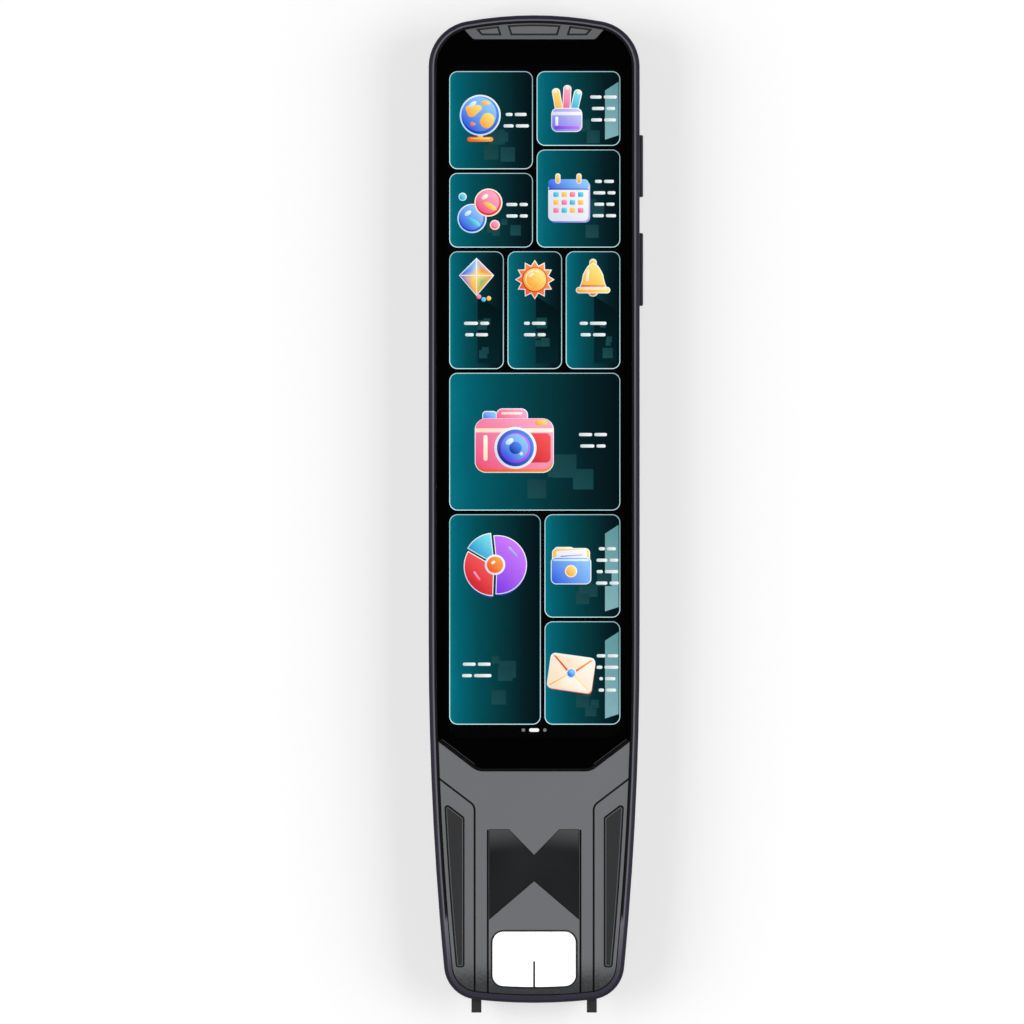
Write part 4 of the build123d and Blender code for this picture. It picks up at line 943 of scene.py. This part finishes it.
# ---- glass edge: a dark grey band lies along the glass where it meets the chin, and a fine paler line,
# a painted highlight of light on the glass's bevel, runs above the band's slanted parts. Both are thin
# strips that lie flat on the glass.
band_insets = (0.12 * mm, 0.37 * mm)  # from the glass's edge to the band's two edges
highlight_insets = (0.57 * mm, 0.67 * mm)
level_within = 0.004 * mm  # corners closer than this in Y are level
glass_edge = front_outline("front_glass")
glass_sides = np.roll(glass_edge, -1, 0) - glass_edge
slants = np.argsort(np.abs(glass_sides).min(1))[-2:]  # the two sides that run most aslant
slant_ends = np.stack([slants, (slants + 1) % len(glass_edge)], -1)
chin_corner_y = glass_edge[slant_ends, 1].max()
along_chin = np.flatnonzero(glass_edge[:, 1] < chin_corner_y + level_within)


def edge_strip(name, corners, insets, finish):
    """A thin strip on the glass, between two lines that lie so far inside these corners of its outline:
    a small rectangle carried from the first corner to the last, and closed at both ends."""
    outer, inner = (inset_line(glass_edge, inset)[corners] for inset in insets)
    low, high = face_z + line_lift, face_z + 2 * line_lift
    sides = [(outer, high), (outer, low), (inner, low), (inner, high)]
    loops = np.stack([np.column_stack([line, np.full(len(line), level)]) for line, level in sides], 1)
    first, last = (np.broadcast_to(loops[end].mean(0), loops[:1].shape) for end in (0, -1))
    strip = skin(name, [np.concatenate([first, loops, last])], finish)
    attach(strip, "body")


dark_band_finish = moulded("dark_grey_band", tint(14, 13, 18), 0.28, 0.1 * mm, 0.001 * mm)
# painted highlight: the fine paler lines stand for light caught on the glass's bevel
bevel_highlight_finish = moulded("painted_bevel_light", tint(56, 56, 60), 0.5, 0.1 * mm, 0.001 * mm)
edge_strip("glass_edge_band", along_chin, band_insets, dark_band_finish)
for number, ends in enumerate(slant_ends):
    edge_strip(f"glass_lit_bevel_{number}", ends, highlight_insets, bevel_highlight_finish)


# ---- chin cover: a moulding of grey painted plastic inside the rim. Its colour turns darker and coarser
# where it rolls down to the tip, and it is painted near black as shade down in the grooves and pockets.
chin_low, chin_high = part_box("lower_cover")
fade_start, fade_end = chin_low.y + 7.8 * mm, chin_low.y - 0.3 * mm
chin_finish, place = open_finish("chin_paint")
towards_tip = place.part("Y").rise(fade_start, fade_end)
patches = place.noise(16 * mm)
grains = place.noise(0.3 * mm, 4)
mottled = towards_tip + (grains - 0.5) * (0.12 + 1.1 * towards_tip)
grey_paint = patches.blend(tint(112, 113, 116), tint(119, 120, 123))
paint = mottled.rise(0, 1).blend(grey_paint, tint(54, 55, 57))
# painted shade: near black where the surface lies deep below the front face, in the grooves and pockets
recess_shade = depth_below(place, chin_high.z).rise(0.1 * mm, 0.2 * mm)
sockets = {
    "Base Color": recess_shade.blend(paint, tint(20, 20, 22)),
    "Roughness": 0.5 - 0.06 * patches,
    "Normal": grains.bump(0.008 * mm),
}
dress(close_finish(chin_finish, place.principled(sockets)), "lower_cover")


# ---- grips: two dark rubber wedges with fine ribs along them, set into pockets in the chin cover. A
# dark line just inside each edge is painted shade of the pocket's gap, and a paler line inside that is a
# painted highlight on the grip's raised edge.
rib_pitch = 0.42 * mm
grip_finish, place = open_finish("grip_rubber")
ribs = place.part("X").ripple(rib_pitch)
crumbs = place.noise(0.15 * mm, 3)
sockets = {
    "Base Color": (0.6 * ribs + 0.4 * crumbs).blend(tint(25, 26, 28), tint(40, 41, 43)),
    "Roughness": 0.62 + 0.12 * crumbs,
    "Normal": (0.7 * ribs + 0.3 * crumbs).bump(0.03 * mm),
}
dress(close_finish(grip_finish, place.principled(sockets)), "grip_inlay_left", "grip_inlay_right")


def divided(outline, parts):
    """An outline with each of its sides cut into this many parts."""
    share = np.linspace(0, 1, parts, endpoint=False)[None, :, None]
    cut = outline[:, None] * (1 - share) + np.roll(outline, -1, 0)[:, None] * share
    return cut.reshape(-1, 2)


def front_level(outline):
    """How high the front face is at each place: flat, and rolled down towards the tip."""
    run = np.maximum(nose_y - outline[:, 1], 0)
    return chin_high.z - nose_radius + np.sqrt(nose_radius**2 - run**2)


def painted_ring(name, outer, inner, above, thickness, finish):
    """A thin painted line: a small rectangle carried round between two outlines, at this height above
    the front face."""
    low_outer, low_inner = front_level(outer) + above, front_level(inner) + above
    levels = [low_outer, low_outer + thickness, low_inner + thickness, low_inner]
    ring = skin(name, [graded([outer, outer, inner, inner], levels)], finish, ring=True)
    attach(ring, "body")


grip_proud = 0.12 * mm
grip_line_lift = 0.012 * mm
grip_parts = 12  # to each side of the outline, so that a line follows the face as it rolls down
# painted highlight: the paler line inside each grip's edge stands for light on its raised edge
grip_highlight_finish = moulded("painted_edge_light", tint(92, 93, 95), 0.5, 0.15 * mm, 0.001 * mm)
grip_lines = {  # from the grip's edge to the line's two edges, and the finish
    "grip_shadow_line": ((0.01 * mm, 0.15 * mm), gap_shade_finish),
    "grip_lit_edge_line": ((0.16 * mm, 0.3 * mm), grip_highlight_finish),
}
for side in ("left", "right"):
    edge = front_outline("grip_inlay_" + side)
    for name, (insets, finish) in grip_lines.items():
        outer, inner = (divided(inset_line(edge, inset), grip_parts) for inset in insets)
        above = grip_proud + grip_line_lift
        painted_ring(f"{name}_{side}", outer, inner, above, grip_line_lift, finish)


# ---- centre inlay: a gloss black plate glued into a pocket of the chin cover, a hair below its face. A
# soft grey sheen is painted along its upper edge.
inlay_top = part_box("badge_inlay")[1].y
badge_finish, place = open_finish("inlay_gloss")
height = place.part("Y") + 0.12 * abs(place.part("X"))
# painted sheen: the colour turns grey towards the upper edge
sheen = height.rise(inlay_top - 3.4 * mm, inlay_top + 1.2 * mm)
uneven_sheen = 0.85 * sheen + 0.15 * place.noise(9 * mm)
sockets = {
    "Base Color": uneven_sheen.blend(tint(27, 28, 30), tint(86, 87, 89)),
    "Roughness": 0.22 + 0.06 * place.noise(0.8 * mm),
}
dress(close_finish(badge_finish, place.principled(sockets)), "badge_inlay")


# ---- scan window: clear moulded panes in front and behind, held by flanges under the covers, and one
# that closes the mouth. A pointer line is set into the front pane, and a thin black line is painted on
# the cover round the pane.
clear_finish, place = open_finish("window_clear")
sockets = {
    "Base Color": (1, 1, 1, 1),
    "Roughness": 0.015 * place.noise(4 * mm),
    "IOR": 1.45,
    "Transmission Weight": 1.0,
}
dress(close_finish(clear_finish, place.principled(sockets)), "window_front", "window_rear", "scan_pane")
dress(moulded("pointer_paint", tint(40, 41, 43), 0.5, 0.1 * mm, 0.002 * mm), "window_pointer")

flange = 0.6 * mm  # hidden under the cover all round
hole_gap = 0.06 * mm  # between the pane and the cover
print_width = 0.25 * mm
print_lift = 0.01 * mm
print_parts = 8  # to each side of the outline
print_finish = moulded("window_print", tint(22, 22, 24), 0.6, 0.08 * mm, 0.002 * mm)
hole_edge = inset_line(front_outline("window_front"), flange - hole_gap)
outer, inner = (divided(inset_line(hole_edge, inset), print_parts) for inset in (-print_width, 0))
painted_ring("window_edge_print", outer, inner, print_lift, print_lift, print_finish)


# ---- scan chamber: a matt black moulded box round the view through the tip. The reader's housing stands
# behind it with a coated lens, and frosted light guides beside that light the page.
dress(moulded("chamber_black", tint(22, 22, 24), 0.75, 0.3 * mm, 0.02 * mm), "scan_chamber")
reader_finish = moulded("reader_black", tint(26, 26, 28), 0.55, 0.18 * mm, 0.006 * mm)
dress(reader_finish, "camera_housing", "speaker_box")
lens_finish, place = open_finish("reader_lens")
coating = place.noise(2 * mm).blend(tint(196, 206, 255), tint(214, 240, 255))
sockets = {"Base Color": coating, "Roughness": 0.02, "IOR": 1.6, "Transmission Weight": 1.0}
dress(close_finish(lens_finish, place.principled(sockets)), "camera_lens")
guide_finish, place = open_finish("light_guide_frosted")
sockets = {
    "Base Color": place.noise(1 * mm).blend(tint(226, 236, 244), tint(246, 250, 252)),
    "Roughness": 0.2 + 0.2 * place.noise(0.4 * mm),
    "IOR": 1.49,
    "Transmission Weight": 0.8,
}
dress(close_finish(guide_finish, place.principled(sockets)), "light_guides")


# ---- scan trigger: two prongs on a yoke of dark acetal, which closes a small switch when it is pressed
# in. Two coil springs of drawn steel wire, their end turns closed, sit on the yoke's pins and push it
# out again.
trigger_finish = moulded("trigger_acetal", tint(46, 46, 48), 0.42, 0.14 * mm, 0.006 * mm)
dress(trigger_finish, "trigger_yoke")
steel = metal("bright_steel", tint(196, 198, 202))
dress(steel, "trigger_springs", "rocker_pin", "usb_shell")
dress(steel, "processor_shield", "microphones", "wireless_module")
dress(moulded("switch_black", tint(34, 34, 36), 0.5), "trigger_switch", "key_switches")

wire_width = 0.2 * mm
coil_turns = 7
turn_steps = 20  # rings of the mesh to a turn
wire_sides = 8
closed_climb = 1.04 * wire_width  # of the first and the last turn
coil_low, coil_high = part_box("trigger_springs")
coil_z = (coil_low.z + coil_high.z) / 2
coil_radius = (coil_high.z - coil_low.z - wire_width) / 2


def coil(x):
    """A coil spring along Y: a small circle carried along a line that winds round an axis. The line
    climbs by little more than the wire's width in its first and last turn, and evenly between them."""
    turn = np.linspace(0, coil_turns, turn_steps * coil_turns + 1)
    reach = coil_high.y - coil_low.y - wire_width
    heights = (0, closed_climb, reach - closed_climb, reach)
    climb = np.interp(turn, (0, 1, coil_turns - 1, coil_turns), heights)
    angle = 2 * math.pi * turn
    outward = np.stack([np.cos(angle), np.zeros_like(angle), np.sin(angle)], -1)
    line = coil_radius * outward + (x, coil_low.y + wire_width / 2, coil_z)
    line[:, 1] += climb
    ahead = np.gradient(line, axis=0)
    ahead /= np.linalg.norm(ahead, axis=1)[:, None]
    aside = np.cross(ahead, outward)
    around = turns(wire_sides)[None, :, None]
    circle = np.cos(around) * outward[:, None] + np.sin(around) * aside[:, None]
    loops = line[:, None] + wire_width / 2 * circle
    first, last = (np.broadcast_to(line[end], loops[:1].shape) for end in (0, -1))
    return np.concatenate([first, loops, last])


coil_x = coil_high.x - coil_radius - wire_width / 2
springs = skin("coil_springs", [coil(-coil_x), coil(coil_x)], steel)
joints = {joint["name"]: joint for joint in frame["record"]["behaviour"]["joints"]}
press = joints["trigger_press"]
seat_y = press["deforming_nodes"][0]["fixed_end_y_m"]
kept_length = 1 - press["range_m"][1] / (seat_y - coil_low.y)
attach(springs, "body")
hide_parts("trigger_springs")
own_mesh(springs)


# ---- side keys: dark moulded keys with a satin face and soft edges. The upper one slides in, and the
# lower one rocks on a steel pin.
key_finish = moulded("key_satin", tint(44, 43, 51), 0.38, 0.1 * mm, 0.004 * mm, 0.08)
dress(key_finish, "power_button", "volume_rocker")


# ---- boards: fibreglass boards with copper tracks under green solder mask, and gold-plated pads. Small
# screws hold the main one on its posts.
def board(name, mask, pitch):
    """A circuit board: tracks show as paler lines under the mask, and small round pads are gold."""
    material, place = open_finish(name)
    sockets = {"Vector": place, "Scale": 1 / pitch, "Mortar Size": 0.05}
    tracks = place.node("ShaderNodeTexBrick", {}, sockets, output="Fac")
    sockets = {"Vector": place, "Scale": 0.6 / pitch}
    cells = place.node("ShaderNodeTexVoronoi", {}, sockets, output="Distance")
    pads = 1 - cells.rise(0.1, 0.13)
    lined = tracks.blend(mask, toned(mask, 1.8))
    sockets = {
        "Base Color": pads.blend(lined, tint(212, 172, 84)),
        "Roughness": 0.42 - 0.12 * pads,
        "Metallic": pads,
        "Normal": (0.5 * tracks + 0.5 * pads).bump(0.02 * mm),
    }
    return close_finish(material, place.principled(sockets))


dress(board("board_green", tint(16, 70, 44), 1.6 * mm), "main_board", "scan_board", "key_board")


# ---- chips and connectors: black moulded packages and white nylon sockets, soldered to the boards, and
# the black tongue in the USB shell.
mark_inset = 1.2 * mm
mark_radius = 0.4 * mm


def package(name, node):
    """A black chip with a round mark at its first pin."""
    low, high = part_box(node)
    material, place = open_finish(name)
    first = (low.x + mark_inset, high.y - mark_inset, low.z)
    mark = 1 - place.away(*first).rise(mark_radius, mark_radius + 0.05 * mm)
    grains = place.noise(0.1 * mm, 3)
    sockets = {
        "Base Color": mark.blend(tint(30, 30, 32), tint(70, 70, 72)),
        "Roughness": 0.5 + 0.15 * grains,
        "Normal": grains.bump(0.006 * mm),
    }
    dress(close_finish(material, place.principled(sockets)), node)


package("memory_epoxy", "memory_chip")
dress(moulded("socket_nylon", tint(216, 210, 196), 0.5, 0.3 * mm, 0.008 * mm, 0.05), "board_connectors")
dress(moulded("tongue_black", tint(20, 20, 21), 0.45, 0.1 * mm, 0.004 * mm), "usb_tongue")


# ---- battery: a foil pouch with folded, slightly wrinkled sides, stuck on a foam pad. A nickel tab
# joins it to the board. The contacts that feed the speaker are of the same metal.
foil_finish, place = open_finish("battery_foil")
wrinkles = place.stretch(1, 0.4, 1).noise(5 * mm, 4)
sockets = {
    "Base Color": wrinkles.blend(tint(150, 152, 156), tint(190, 192, 196)),
    "Roughness": 0.3 + 0.2 * wrinkles,
    "Metallic": 0.85,
    "Normal": wrinkles.bump(0.15 * mm),
}
dress(close_finish(foil_finish, place.principled(sockets)), "battery_cell")
dress(metal("nickel", tint(206, 200, 186), 0.25, (12, 1, 12)), "battery_tab", "speaker_contacts")


# ---- speaker mesh: a piece of finely woven steel cloth, glued behind the grille's holes to keep dust
# out of the speaker.
weave_pitch = 0.3 * mm
mesh_finish, place = open_finish("speaker_weave")
weave = place.part("X").ripple(weave_pitch) * place.part("Y").ripple(weave_pitch)
wires = weave.rise(0.1, 0.6)
sockets = {
    "Base Color": wires.blend(tint(14, 14, 15), tint(96, 96, 98)),
    "Roughness": 0.45 - 0.1 * weave,
    "Metallic": wires,
    "Normal": weave.bump(0.08 * mm),
}
dress(close_finish(mesh_finish, place.principled(sockets)), "speaker_mesh")
